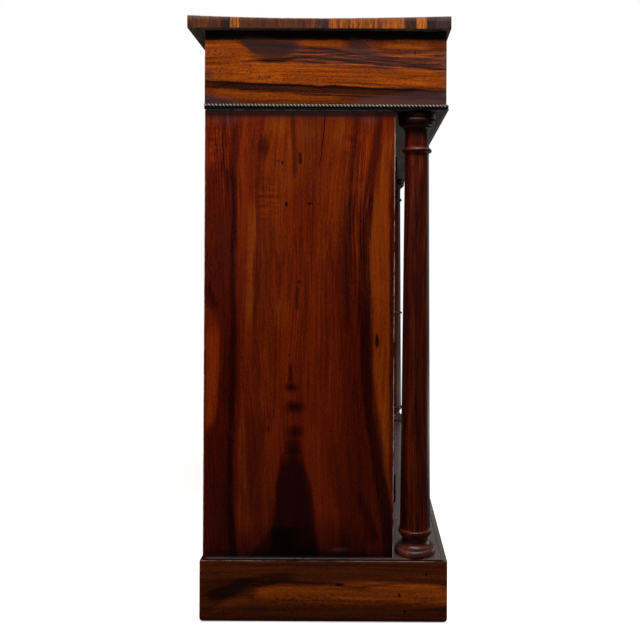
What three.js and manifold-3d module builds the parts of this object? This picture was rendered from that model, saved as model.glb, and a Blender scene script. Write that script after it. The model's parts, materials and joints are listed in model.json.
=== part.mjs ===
// A small Regency chiffonier: two frieze drawers over a pair of panelled doors,
// with a free-standing turned column at each front corner and a hollow plinth.
// Millimetres, +Z up, +X along the front, the front faces -Y.
import * as THREE from 'three';
import { mergeVertices } from 'three/addons/utils/BufferGeometryUtils.js';
import Module from 'manifold-3d';

const wasm = await Module();
wasm.setup();

// Overall form
const OVERALL_HEIGHT = 915;
const PLINTH_WIDTH = 1004;
const PLINTH_DEPTH = 373;
const PLINTH_HEIGHT = 94;
const PLINTH_BACK_PROJECTION = 2;
const CARCASE_DEPTH = 290;
const CARCASE_END_SETBACK = 11.5;
const FRIEZE_HEIGHT = 120;
const FRIEZE_END_SETBACK = 9;
const FRIEZE_FRONT_SETBACK = 4;
const TOP_THICKNESS = 20;
const TOP_END_OVERHANG = 9;
const TOP_FRONT_OVERHANG = 6;
const TOP_BACK_OVERHANG = 25;

// Fits: glued faces touch, cut pieces keep a joint gap, sliding ones a running clearance
const JOINT_GAP = 0.3;
const MITRE_GAP = 0.4;
const OVERRUN = 4;

// Boards of the plinth and carcase
const PLINTH_BOARD = 20;
const PLATFORM_THICKNESS = 16;
const PLATFORM_REBATE = 12;
const SIDE_BOARD = 20;
const BACK_BOARD = 12;
const BACK_REBATE = 10;
const FRONT_STILE_THICKNESS = 22;
const SHELF_THICKNESS = 16;
const SHELF_FRONT_SETBACK = 48;
const SHELF_Z = 404;
const SHELF_HOUSING = 6;

// Frieze
const FRIEZE_BOARD = 18;
const BOTTOM_RAIL_THICKNESS = 16;
const BOTTOM_RAIL_DEPTH = 70;
const TOP_RAIL_THICKNESS = 12;
const TOP_RAIL_DEPTH = 60;
const DIVIDER_THICKNESS = 20;
const KICKER_WIDTH = 22;

// Rope-twist moulding along the foot of the frieze, on a square fillet
const ROPE_HEIGHT = 7;
const ROPE_FILLET_HEIGHT = 1.5;
const ROPE_PROJECTION = 3.4;
const ROPE_SECTION_STEPS = 6;

// Turned columns: heights above the plinth, and radii
const COLUMN_INSET = 38;
const COLUMN_FORWARD = 34.5;
const COLUMN_SEGMENTS = 28;
const SWEEP_STEPS = 3;
const BEAD_STEPS = 2;
const COLUMN_TENON_RADIUS = 7.5;
const COLUMN_TENON_LENGTH = 12;
const TORUS_RADIUS = 31.5;
const TORUS_FOOT_RADIUS = 30;
const TORUS_HEIGHT = 10.5;
const TORUS_EQUATOR_HEIGHT = 4;
const BASE_FILLET_RADIUS = 27;
const BASE_FILLET_HEIGHT = 2;
const SCOTIA_RADIUS = 19.8;
const SCOTIA_HEIGHT = 9.5;
const LOWER_RING_RADIUS = 25.5;
const LOWER_RING_HEIGHT = 7.5;
const LOWER_RING_FILLET_RADIUS = 23.5;
const LOWER_RING_FILLET_HEIGHT = 2;
const SHAFT_FOOT_RADIUS = 23.4;
const SHAFT_TOP_RADIUS = 18.7;
const APOPHYGE_HEIGHT = 8;
const APOPHYGE_DEPTH = 1.2;
const NECK_RING_RADIUS = 23;
const NECK_RING_HEIGHT = 6.5;
const NECK_FILLET_RADIUS = 19.4;
const NECK_FILLET_HEIGHT = 2.2;
const NECK_RADIUS = 18.6;
const CAPITAL_RADIUS = 29.8;
const CAPITAL_DISC_HEIGHT = 11;
const CAPITAL_QUIRK_DEPTH = 2.2;
const CAPITAL_QUIRK_HEIGHT = 1.6;
const CAPITAL_BEAD_HEIGHT = 6;
const CAPITAL_BEAD_RADIUS = 27.4;
const CAPITAL_COVE_HEIGHT = 12;
const NECK_HEIGHT = 22;

// Doors: the hinge pin stands a little in front of the door's face
const HINGE_INSET_FROM_END = 85;
const HINGE_PIN_FORWARD = 3.3;
const HINGE_EDGE_GAP = 1.2;
const DOOR_CENTRE_GAP = 2;
const DOOR_END_GAP = 2;
const DOOR_THICKNESS = 22;
const DOOR_STILE_WIDTH = 62;
const DOOR_TOP_RAIL = 62;
const DOOR_BOTTOM_RAIL = 72;
const DOOR_TENON_LENGTH = 38;
const DOOR_TENON_THICKNESS = 8;
const DOOR_TENON_SHOULDER = 12;
const DOOR_CHAMFER = 4;
const PANEL_EDGE_THICKNESS = 6;
const PANEL_EDGE_SETBACK = 9;
const PANEL_GROOVE_DEPTH = 8;
const PANEL_GROOVE_CLEARANCE = 1;
const PANEL_FIELD_RAISE = 5;
const PANEL_FIELD_BEVEL = 22;
const PANEL_FIELD_MARGIN = 3;

// Butt hinges
const HINGE_HEIGHT = 40;
const HINGE_CENTRE_INSET = 81;
const HINGE_LEAF_WIDTH = 17;
const HINGE_LEAF_THICKNESS = 1.5;
const HINGE_LEAF_GAP = 0.2;
const HINGE_KNUCKLE_RADIUS = 3;
const HINGE_BORE_RADIUS = 1.8;
const HINGE_PIN_RADIUS = 1.5;
const HINGE_MIDDLE_KNUCKLE = 14;
const HINGE_FINIAL_HEIGHT = 3;
const HINGE_SEGMENTS = 16;

// Lock, let into the back of the right-hand door's meeting stile
const LOCK_Z = 429;
const LOCK_CASE_LENGTH = 54;
const LOCK_CASE_HEIGHT = 44;
const LOCK_CASE_DEPTH = 11;
const LOCK_CASE_DROP = 20;
const LOCK_WALL = 2;
const LOCK_BOLT_THICKNESS = 5;
const LOCK_BOLT_HEIGHT = 26;
const LOCK_BOLT_DROP = 9;
const LOCK_BOLT_LENGTH = 50;
const LOCK_BOLT_THROW = 10;
const LOCK_BOLT_HEAD_HEIGHT = 16;
const LOCK_SLIDE_CLEARANCE = 0.3;
const KEY_BACKSET = 31;
const KEY_SHANK_RADIUS = 2.5;
const KEY_BORE_CLEARANCE = 0.3;
const KEY_BIT_REACH = 9;
const KEY_BIT_WIDTH = 3.6;
const KEY_BIT_THICKNESS = 2.4;
const KEY_PROJECTION = 38;
const KEY_BOW_RADIUS = 11;
const KEY_BOW_WIRE_RADIUS = 2.4;
const KEY_COLLAR_RADIUS = 3.8;
const KEY_COLLAR_LENGTH = 3;
const KEY_SEGMENTS = 12;
const KEY_BOW_SEGMENTS = 24;
const KEY_WIRE_SEGMENTS = 8;

// Bolts on the back of the left-hand door's meeting stile
const DOOR_BOLT_WIDTH = 10;
const DOOR_BOLT_THICKNESS = 4;
const DOOR_BOLT_LENGTH = 95;
const DOOR_BOLT_SETBACK = 3;
const DOOR_BOLT_THROW = 12;
const DOOR_BOLT_KNOB_RADIUS = 4;
const DOOR_BOLT_KNOB_HEIGHT = 7;
const DOOR_BOLT_KNOB_INSET = 40;
const BOLT_PLATE_THICKNESS = 1.5;
const BOLT_PLATE_WIDTH = 24;
const BOLT_PLATE_LENGTH = 78;
const KEEPER_HEIGHT = 12;
const KEEPER_WALL = 2;
const KEEPER_FIRST_INSET = 4;
const KEEPER_SECOND_INSET = 60;

// Frieze drawers
const DRAWER_SIDE_CLEARANCE = 1;
const DRAWER_REVEAL = 1;
const DRAWER_RUN_CLEARANCE = 0.3;
const DRAWER_FRONT_THICKNESS = 20;
const DRAWER_SIDE_THICKNESS = 10;
const DRAWER_SIDE_HEIGHT = 80;
const DRAWER_BACK_THICKNESS = 10;
const DRAWER_BACK_CLEARANCE = 1;
const DRAWER_BOTTOM_THICKNESS = 6;
const DRAWER_BOTTOM_RISE = 8;
const DRAWER_GROOVE_DEPTH = 5;
const DRAWER_GROOVE_CLEARANCE = 0.2;
const DOVETAIL_COUNT = 3;
const DOVETAIL_LENGTH = 14;
const DOVETAIL_ROOT_SHARE = 0.5;
const DOVETAIL_TIP_SHARE = 0.72;
const DOVETAIL_CLEARANCE = 0.15;

// Turned drawer knobs
const KNOB_PROJECTION = 23;
const KNOB_RADIUS = 16;
const KNOB_NECK_RADIUS = 7.5;
const KNOB_FOOT_RADIUS = 10;
const KNOB_FOOT_THICKNESS = 2.5;
const KNOB_RIM_THICKNESS = 5;
const KNOB_DOME_HEIGHT = 6;
const KNOB_TENON_RADIUS = 5;
const KNOB_SEGMENTS = 20;
const KNOB_DOME_STEPS = 4;

// Places worked out from the sizes above; y = 0 is the back of the carcase
const TOP_Z = OVERALL_HEIGHT - TOP_THICKNESS;
const FRIEZE_Z = TOP_Z - FRIEZE_HEIGHT;
const PLATFORM_Z = PLINTH_HEIGHT - PLATFORM_THICKNESS;
const PLINTH_X = PLINTH_WIDTH / 2;
const PLINTH_Y = PLINTH_BACK_PROJECTION - PLINTH_DEPTH;
const CARCASE_X = PLINTH_X - CARCASE_END_SETBACK;
const CARCASE_Y = -CARCASE_DEPTH;
const CARCASE_INNER_X = CARCASE_X - SIDE_BOARD;
const SHELF_Y = CARCASE_Y + SHELF_FRONT_SETBACK;
const FRIEZE_X = PLINTH_X - FRIEZE_END_SETBACK;
const FRIEZE_INNER_X = FRIEZE_X - FRIEZE_BOARD;
const FRIEZE_Y = PLINTH_Y + FRIEZE_FRONT_SETBACK;
const RAIL_BACK_Y = FRIEZE_Y + BOTTOM_RAIL_DEPTH;
const RUNNER_Z = FRIEZE_Z + BOTTOM_RAIL_THICKNESS;
const OPENING_TOP_Z = TOP_Z - TOP_RAIL_THICKNESS;
const COLUMN_X = PLINTH_X - COLUMN_INSET;
const COLUMN_Y = CARCASE_Y - COLUMN_FORWARD;
const HINGE_X = PLINTH_X - HINGE_INSET_FROM_END;
const HINGE_Y = CARCASE_Y - HINGE_PIN_FORWARD;
const DOOR_LOW_Z = PLINTH_HEIGHT + DOOR_END_GAP;
const DOOR_HIGH_Z = FRIEZE_Z - DOOR_END_GAP;
const DOOR_FRONT = HINGE_PIN_FORWARD;
const DOOR_BACK = DOOR_FRONT + DOOR_THICKNESS;
const DOOR_EDGE = HINGE_X - DOOR_CENTRE_GAP / 2;
const HINGE_CENTRES = {
  lower: DOOR_LOW_Z + HINGE_CENTRE_INSET,
  upper: DOOR_HIGH_Z - HINGE_CENTRE_INSET,
};
const KNOB_Z = (RUNNER_Z + OPENING_TOP_Z) / 2;
const SIDES = { left: -1, right: 1 };

// Materials
const polished = (color) => new THREE.MeshStandardMaterial({ color, roughness: 0.35, metalness: 0 });
const plain = (color) => new THREE.MeshStandardMaterial({ color, roughness: 0.8, metalness: 0 });
const brass = () => new THREE.MeshStandardMaterial({ color: 0x9a7a3c, roughness: 0.35, metalness: 1 });
const steel = () => new THREE.MeshStandardMaterial({ color: 0x55524e, roughness: 0.5, metalness: 1 });
const ROSEWOOD = 0x6b2f12;
const TOP_WOOD = 0x74421d;
const COLUMN_WOOD = 0x3a1410;
const ROPE_WOOD = 0x241812;
const PANEL_WOOD = 0x7a3a14;
const PINE = 0x9b7448;
const MAHOGANY = 0x6f4426;

/** Turns a closed geometry's faces outward, where a mirrored placing has turned them in. */
function facesOut(geometry) {
  const open = geometry.getIndex() ? geometry.toNonIndexed() : geometry;
  const position = open.getAttribute('position');
  const corners = [new THREE.Vector3(), new THREE.Vector3(), new THREE.Vector3()];
  let volume = 0;
  for (let i = 0; i < position.count; i += 3) {
    corners.forEach((corner, k) => corner.fromBufferAttribute(position, i + k));
    volume += corners[0].dot(corners[1].cross(corners[2]));
  }
  if (volume > 0) {
    return open;
  }
  const swapped = new THREE.Vector3();
  for (let i = 0; i < position.count; i += 3) {
    swapped.fromBufferAttribute(position, i + 1);
    position.setXYZ(i + 1, position.getX(i + 2), position.getY(i + 2), position.getZ(i + 2));
    position.setXYZ(i + 2, swapped.x, swapped.y, swapped.z);
  }
  return open;
}

/** A box between two corners, given in any order on each axis. */
function box(x0, x1, y0, y1, z0, z1) {
  const geometry = new THREE.BoxGeometry();
  const low = [Math.min(x0, x1), Math.min(y0, y1), Math.min(z0, z1)];
  const high = [Math.max(x0, x1), Math.max(y0, y1), Math.max(z0, z1)];
  const position = geometry.getAttribute('position');
  for (let i = 0; i < position.count; i += 1) {
    position.setXYZ(
      i,
      position.getX(i) < 0 ? low[0] : high[0],
      position.getY(i) < 0 ? low[1] : high[1],
      position.getZ(i) < 0 ? low[2] : high[2],
    );
  }
  return geometry;
}

/** A box whose face at y0 is one rectangle and whose face at y1 is another, each [x0, x1, z0, z1]. */
function taperedBox(y0, first, y1, second) {
  const geometry = new THREE.BoxGeometry();
  const position = geometry.getAttribute('position');
  for (let i = 0; i < position.count; i += 1) {
    const atFirst = position.getY(i) < 0 === y0 < y1;
    const face = atFirst ? first : second;
    const xs = [Math.min(face[0], face[1]), Math.max(face[0], face[1])];
    position.setXYZ(
      i,
      position.getX(i) < 0 ? xs[0] : xs[1],
      atFirst ? y0 : y1,
      position.getZ(i) < 0 ? face[2] : face[3],
    );
  }
  return facesOut(geometry);
}

/** An outline of [a, b] points as a shape. */
function shapeOf(points) {
  return new THREE.Shape(points.map(([a, b]) => new THREE.Vector2(a, b)));
}

/** Extrudes an outline and sends each point (a, b, along) to its place with one function. */
function prism(points, from, to, place) {
  const geometry = new THREE.ExtrudeGeometry(shapeOf(points), { depth: 1, bevelEnabled: false });
  const position = geometry.getAttribute('position');
  for (let i = 0; i < position.count; i += 1) {
    const along = position.getZ(i) < 0.5 ? from : to;
    position.setXYZ(i, ...place(position.getX(i), position.getY(i), along));
  }
  return facesOut(geometry);
}

/** A plan outline carried up from one height to another. */
function prismUp(points, z0, z1) {
  return prism(points, z0, z1, (x, y, z) => [x, y, z]);
}

/** Revolves [radius, height] points about the vertical axis. */
function turned(points, segments) {
  const profile = points.map(([radius, height]) => new THREE.Vector2(radius, height));
  const geometry = new THREE.LatheGeometry(profile, segments);
  geometry.rotateX(Math.PI / 2);
  return geometry;
}

/** A solid for joining and cutting, from a closed geometry. */
function solid(geometry) {
  const bare = geometry.clone();
  bare.deleteAttribute('normal');
  bare.deleteAttribute('uv');
  const merged = mergeVertices(bare);
  const positions = merged.getAttribute('position').array;
  const mesh = new wasm.Mesh({
    numProp: 3,
    vertProperties: new Float32Array(positions),
    triVerts: new Uint32Array(merged.getIndex().array),
  });
  return new wasm.Manifold(mesh);
}

/** The geometry of a finished solid. */
function geometryOf(body) {
  const mesh = body.getMesh();
  const indexed = new THREE.BufferGeometry();
  indexed.setAttribute('position', new THREE.BufferAttribute(mesh.vertProperties, mesh.numProp));
  indexed.setIndex(new THREE.BufferAttribute(mesh.triVerts, 1));
  const geometry = indexed.toNonIndexed();
  geometry.computeVertexNormals();
  return geometry;
}

/** Joins geometries, then cuts others from them. */
function carve(parts, cutters = []) {
  let body = parts.map(solid).reduce((sum, next) => sum.add(next));
  for (const cutter of cutters) {
    body = body.subtract(solid(cutter));
  }
  return geometryOf(body);
}

/** Adds a named mesh to a group. */
function piece(group, name, geometry, material) {
  const mesh = new THREE.Mesh(geometry, material);
  mesh.name = name;
  group.add(mesh);
  return mesh;
}

/** An upright cylinder between two heights. */
function post(x, y, z0, z1, radius, segments) {
  const geometry = turned([[0, z0], [radius, z0], [radius, z1], [0, z1]], segments);
  geometry.translate(x, y, 0);
  return geometry;
}

/** A cylinder along Y between two depths. */
function peg(x, z, y0, y1, radius, segments) {
  const geometry = turned([[0, y0], [radius, y0], [radius, y1], [0, y1]], segments);
  geometry.rotateX(-Math.PI / 2);
  geometry.translate(x, 0, z);
  return geometry;
}

// The plinth: mitred at the front, hollow below, with a platform let into its boards

const platformRecess = () =>
  box(
    PLINTH_BOARD - PLATFORM_REBATE - PLINTH_X,
    PLINTH_X - PLINTH_BOARD + PLATFORM_REBATE,
    PLINTH_Y + PLINTH_BOARD - PLATFORM_REBATE,
    PLINTH_BACK_PROJECTION - PLINTH_BOARD + PLATFORM_REBATE,
    PLATFORM_Z,
    PLINTH_HEIGHT + OVERRUN,
  );

function addPlinth(group) {
  const front = prismUp(
    [
      [-PLINTH_X, PLINTH_Y],
      [PLINTH_X, PLINTH_Y],
      [PLINTH_X - PLINTH_BOARD, PLINTH_Y + PLINTH_BOARD],
      [PLINTH_BOARD - PLINTH_X, PLINTH_Y + PLINTH_BOARD],
    ],
    0,
    PLINTH_HEIGHT,
  );
  piece(group, 'plinth_front', carve([front], [platformRecess()]), polished(ROSEWOOD));

  for (const [name, side] of Object.entries(SIDES)) {
    const outline = [
      [side * PLINTH_X, PLINTH_Y + MITRE_GAP],
      [side * PLINTH_X, PLINTH_BACK_PROJECTION],
      [side * (PLINTH_X - PLINTH_BOARD), PLINTH_BACK_PROJECTION],
      [side * (PLINTH_X - PLINTH_BOARD), PLINTH_Y + PLINTH_BOARD + MITRE_GAP],
    ];
    const end = prismUp(outline, 0, PLINTH_HEIGHT);
    piece(group, `plinth_end_${name}`, carve([end], [platformRecess()]), polished(ROSEWOOD));
  }

  const inner = PLINTH_X - PLINTH_BOARD;
  const backFace = PLINTH_BACK_PROJECTION;
  const back = box(-inner, inner, backFace - PLINTH_BOARD, backFace, 0, PLINTH_HEIGHT);
  piece(group, 'plinth_back', carve([back], [platformRecess()]), plain(PINE));

  const platform = box(
    PLINTH_BOARD - PLATFORM_REBATE - PLINTH_X + JOINT_GAP,
    PLINTH_X - PLINTH_BOARD + PLATFORM_REBATE - JOINT_GAP,
    PLINTH_Y + PLINTH_BOARD - PLATFORM_REBATE + JOINT_GAP,
    backFace - PLINTH_BOARD + PLATFORM_REBATE - JOINT_GAP,
    PLATFORM_Z,
    PLINTH_HEIGHT,
  );
  const sockets = Object.values(SIDES).map((side) => columnSocket(side, PLINTH_HEIGHT, -1));
  sockets.push(boltSocket(PLINTH_HEIGHT, -1));
  piece(group, 'platform', carve([platform], sockets), polished(MAHOGANY));
}

/** The hole that takes a column's tenon, going up or down from a face. */
function columnSocket(side, z, direction) {
  const depth = direction * (COLUMN_TENON_LENGTH + JOINT_GAP);
  const low = Math.min(z - direction * OVERRUN, z + depth);
  const high = Math.max(z - direction * OVERRUN, z + depth);
  const radius = COLUMN_TENON_RADIUS + JOINT_GAP;
  return post(side * COLUMN_X, COLUMN_Y, low, high, radius, COLUMN_SEGMENTS);
}

/** The hole that a door bolt shoots into. */
function boltSocket(z, direction) {
  const centre = SIDES.left * (HINGE_X - DOOR_BOLT_U);
  const front = HINGE_Y + DOOR_BOLT_FRONT;
  const end = z + direction * (DOOR_BOLT_THROW - DOOR_BOLT_SETBACK + LOCK_SLIDE_CLEARANCE);
  return box(
    centre - DOOR_BOLT_WIDTH / 2 - LOCK_SLIDE_CLEARANCE,
    centre + DOOR_BOLT_WIDTH / 2 + LOCK_SLIDE_CLEARANCE,
    front - LOCK_SLIDE_CLEARANCE,
    front + DOOR_BOLT_THICKNESS + LOCK_SLIDE_CLEARANCE,
    z - direction * OVERRUN,
    end,
  );
}

// The carcase: ends, back panel, fixed front stiles and a housed shelf

function addCarcase(group) {
  for (const [name, side] of Object.entries(SIDES)) {
    const inner = side * CARCASE_INNER_X;
    const board = box(inner, side * CARCASE_X, CARCASE_Y, 0, PLINTH_HEIGHT, FRIEZE_Z);
    const rebate = box(
      inner - side * OVERRUN,
      inner + side * BACK_REBATE,
      -BACK_BOARD,
      OVERRUN,
      PLINTH_HEIGHT - OVERRUN,
      FRIEZE_Z + OVERRUN,
    );
    const housing = box(
      inner - side * OVERRUN,
      inner + side * (SHELF_HOUSING + JOINT_GAP),
      SHELF_Y - JOINT_GAP,
      OVERRUN - BACK_BOARD,
      SHELF_Z - JOINT_GAP,
      SHELF_Z + SHELF_THICKNESS + JOINT_GAP,
    );
    piece(group, `side_panel_${name}`, carve([board], [rebate, housing]), polished(ROSEWOOD));

    const stile = box(
      side * (HINGE_X + HINGE_EDGE_GAP),
      inner,
      CARCASE_Y,
      CARCASE_Y + FRONT_STILE_THICKNESS,
      PLINTH_HEIGHT,
      FRIEZE_Z,
    );
    const recesses = Object.values(HINGE_CENTRES).map((z) => {
      const x = side * HINGE_X;
      return box(
        x,
        x + side * (HINGE_LEAF_GAP + HINGE_LEAF_THICKNESS),
        CARCASE_Y - OVERRUN,
        HINGE_Y + HINGE_LEAF_WIDTH + JOINT_GAP,
        z - HINGE_HEIGHT / 2 - JOINT_GAP,
        z + HINGE_HEIGHT / 2 + JOINT_GAP,
      );
    });
    piece(group, `front_stile_${name}`, carve([stile], recesses), polished(ROSEWOOD));
  }

  const backX = CARCASE_INNER_X + BACK_REBATE - JOINT_GAP;
  const back = box(-backX, backX, -BACK_BOARD, 0, PLINTH_HEIGHT, TOP_Z);
  piece(group, 'back_panel', back, plain(PINE));

  const shelf = box(
    -CARCASE_INNER_X - SHELF_HOUSING,
    CARCASE_INNER_X + SHELF_HOUSING,
    SHELF_Y,
    -BACK_BOARD - JOINT_GAP,
    SHELF_Z,
    SHELF_Z + SHELF_THICKNESS,
  );
  piece(group, 'shelf', shelf, plain(MAHOGANY));
}

// The frieze: ends, rails, dustboard, divider and rope moulding

function addFrieze(group) {
  const railHoles = Object.values(SIDES).map((side) => columnSocket(side, FRIEZE_Z, 1));
  const rail = box(-FRIEZE_INNER_X, FRIEZE_INNER_X, FRIEZE_Y, RAIL_BACK_Y, FRIEZE_Z, RUNNER_Z);
  piece(group, 'frieze_bottom_rail', carve([rail], railHoles), polished(ROSEWOOD));

  const dustboard = box(-FRIEZE_INNER_X, FRIEZE_INNER_X, RAIL_BACK_Y, -BACK_BOARD, FRIEZE_Z, RUNNER_Z);
  piece(group, 'dustboard', carve([dustboard], [boltSocket(FRIEZE_Z, 1)]), plain(MAHOGANY));

  for (const [name, side] of Object.entries(SIDES)) {
    const end = box(side * FRIEZE_INNER_X, side * FRIEZE_X, FRIEZE_Y, 0, FRIEZE_Z, TOP_Z);
    const rebate = box(
      side * (FRIEZE_INNER_X - OVERRUN),
      side * (CARCASE_INNER_X + BACK_REBATE),
      -BACK_BOARD,
      OVERRUN,
      FRIEZE_Z - OVERRUN,
      TOP_Z + OVERRUN,
    );
    piece(group, `frieze_end_${name}`, carve([end], [rebate]), polished(ROSEWOOD));
  }

  const half = DIVIDER_THICKNESS / 2;
  const divider = box(-half, half, FRIEZE_Y, -BACK_BOARD, RUNNER_Z, OPENING_TOP_Z);
  piece(group, 'frieze_divider', divider, polished(ROSEWOOD));

  const topRailBack = FRIEZE_Y + TOP_RAIL_DEPTH;
  const topRail = box(-FRIEZE_INNER_X, FRIEZE_INNER_X, FRIEZE_Y, topRailBack, OPENING_TOP_Z, TOP_Z);
  const kickers = [
    [-FRIEZE_INNER_X, KICKER_WIDTH - FRIEZE_INNER_X],
    [-half - KICKER_WIDTH, half + KICKER_WIDTH],
    [FRIEZE_INNER_X - KICKER_WIDTH, FRIEZE_INNER_X],
  ].map(([x0, x1]) => box(x0, x1, topRailBack - OVERRUN, -BACK_BOARD, OPENING_TOP_Z, TOP_Z));
  piece(group, 'frieze_top_rail', carve([topRail, ...kickers]), polished(ROSEWOOD));
}

/** The section of the rope moulding, a half round on a fillet, as [out from the face, height] points. */
function ropeSection() {
  const low = FRIEZE_Z + ROPE_FILLET_HEIGHT;
  const points = [[0, FRIEZE_Z], [0, low + ROPE_HEIGHT]];
  for (let i = 1; i < ROPE_SECTION_STEPS; i += 1) {
    const angle = Math.PI / 2 - (Math.PI * i) / ROPE_SECTION_STEPS;
    const height = low + (ROPE_HEIGHT / 2) * (1 + Math.sin(angle));
    points.push([ROPE_PROJECTION * Math.cos(angle), height]);
  }
  points.push([ROPE_PROJECTION, low], [ROPE_PROJECTION, FRIEZE_Z]);
  return points;
}

/** The moulding runs along both ends and the front, mitred at the two corners. */
function addRopeMoulding(group) {
  const reach = FRIEZE_X + ROPE_PROJECTION;
  const start = FRIEZE_Y - ROPE_PROJECTION;
  const frontRun = prism(ropeSection(), -reach, reach, (out, z, x) => [x, FRIEZE_Y - out, z]);
  const frontMitres = Object.values(SIDES).map((side) => mitreCutter(side, true));
  const runs = [carve([frontRun], frontMitres)];
  for (const side of Object.values(SIDES)) {
    const endRun = prism(ropeSection(), start, 0, (out, z, y) => [side * (FRIEZE_X + out), y, z]);
    runs.push(carve([endRun], [mitreCutter(side, false)]));
  }
  piece(group, 'rope_moulding', carve(runs), polished(ROPE_WOOD));
}

/** The wedge beyond a front corner's mitre plane, on the end's side or the front's side. */
function mitreCutter(side, trimsFront) {
  const near = FRIEZE_X - OVERRUN;
  const far = FRIEZE_X + ROPE_PROJECTION + OVERRUN;
  const nearY = FRIEZE_Y + OVERRUN;
  const farY = FRIEZE_Y - ROPE_PROJECTION - OVERRUN;
  const third = trimsFront ? [far, nearY] : [near, farY];
  const outline = [[near, nearY], [far, farY], third].map(([x, y]) => [side * x, y]);
  const top = FRIEZE_Z + ROPE_FILLET_HEIGHT + ROPE_HEIGHT;
  return prismUp(outline, FRIEZE_Z - OVERRUN, top + OVERRUN);
}

function addTop(group) {
  const x = FRIEZE_X + TOP_END_OVERHANG;
  const front = FRIEZE_Y - TOP_FRONT_OVERHANG;
  const board = box(-x, x, front, TOP_BACK_OVERHANG, TOP_Z, OVERALL_HEIGHT);
  piece(group, 'top_board', board, polished(TOP_WOOD));
}

// Columns: a turned base ring, and a shaft with its capital and a tenon at each end

/** Points of a quarter of an ellipse between two places of a turned outline. */
function sweep(from, to, bulge, steps) {
  const points = [];
  for (let i = 1; i <= steps; i += 1) {
    const angle = (Math.PI / 2) * (i / steps);
    const first = bulge ? Math.sin(angle) : 1 - Math.cos(angle);
    const second = bulge ? 1 - Math.cos(angle) : Math.sin(angle);
    points.push([from[0] + (to[0] - from[0]) * first, from[1] + (to[1] - from[1]) * second]);
  }
  return points;
}

const BASE_TOP_Z = PLINTH_HEIGHT + TORUS_HEIGHT + BASE_FILLET_HEIGHT + SCOTIA_HEIGHT;
const CAPITAL_LOW_Z = FRIEZE_Z
  - CAPITAL_DISC_HEIGHT
  - CAPITAL_QUIRK_HEIGHT
  - CAPITAL_BEAD_HEIGHT
  - CAPITAL_COVE_HEIGHT;

function columnBase() {
  const bore = COLUMN_TENON_RADIUS + JOINT_GAP;
  const z = PLINTH_HEIGHT;
  const torusTop = z + TORUS_HEIGHT;
  const filletTop = torusTop + BASE_FILLET_HEIGHT;
  const outline = [
    [bore, z],
    [TORUS_FOOT_RADIUS, z],
    ...sweep([TORUS_FOOT_RADIUS, z], [TORUS_RADIUS, z + TORUS_EQUATOR_HEIGHT], true, BEAD_STEPS),
    ...sweep([TORUS_RADIUS, z + TORUS_EQUATOR_HEIGHT], [BASE_FILLET_RADIUS, torusTop], false, SWEEP_STEPS),
    [BASE_FILLET_RADIUS, filletTop],
    ...sweep([BASE_FILLET_RADIUS, filletTop], [SCOTIA_RADIUS, BASE_TOP_Z], true, SWEEP_STEPS),
    [bore, BASE_TOP_Z],
    [bore, z],
  ];
  return turned(outline, COLUMN_SEGMENTS);
}

/** The outline of the capital above the neck, from the cove up to the disc. */
function capitalOutline() {
  const discLow = FRIEZE_Z - CAPITAL_DISC_HEIGHT;
  const beadTop = discLow - CAPITAL_QUIRK_HEIGHT;
  const beadLow = beadTop - CAPITAL_BEAD_HEIGHT;
  const beadMiddle = (beadTop + beadLow) / 2;
  const quirk = CAPITAL_BEAD_RADIUS - CAPITAL_QUIRK_DEPTH;
  return [
    ...sweep([NECK_RADIUS, CAPITAL_LOW_Z], [quirk, beadLow], false, SWEEP_STEPS),
    ...sweep([quirk, beadLow], [CAPITAL_BEAD_RADIUS, beadMiddle], true, BEAD_STEPS),
    ...sweep([CAPITAL_BEAD_RADIUS, beadMiddle], [quirk, beadTop], false, BEAD_STEPS),
    [quirk, discLow],
    [CAPITAL_RADIUS, discLow],
    [CAPITAL_RADIUS, FRIEZE_Z],
  ];
}

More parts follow.
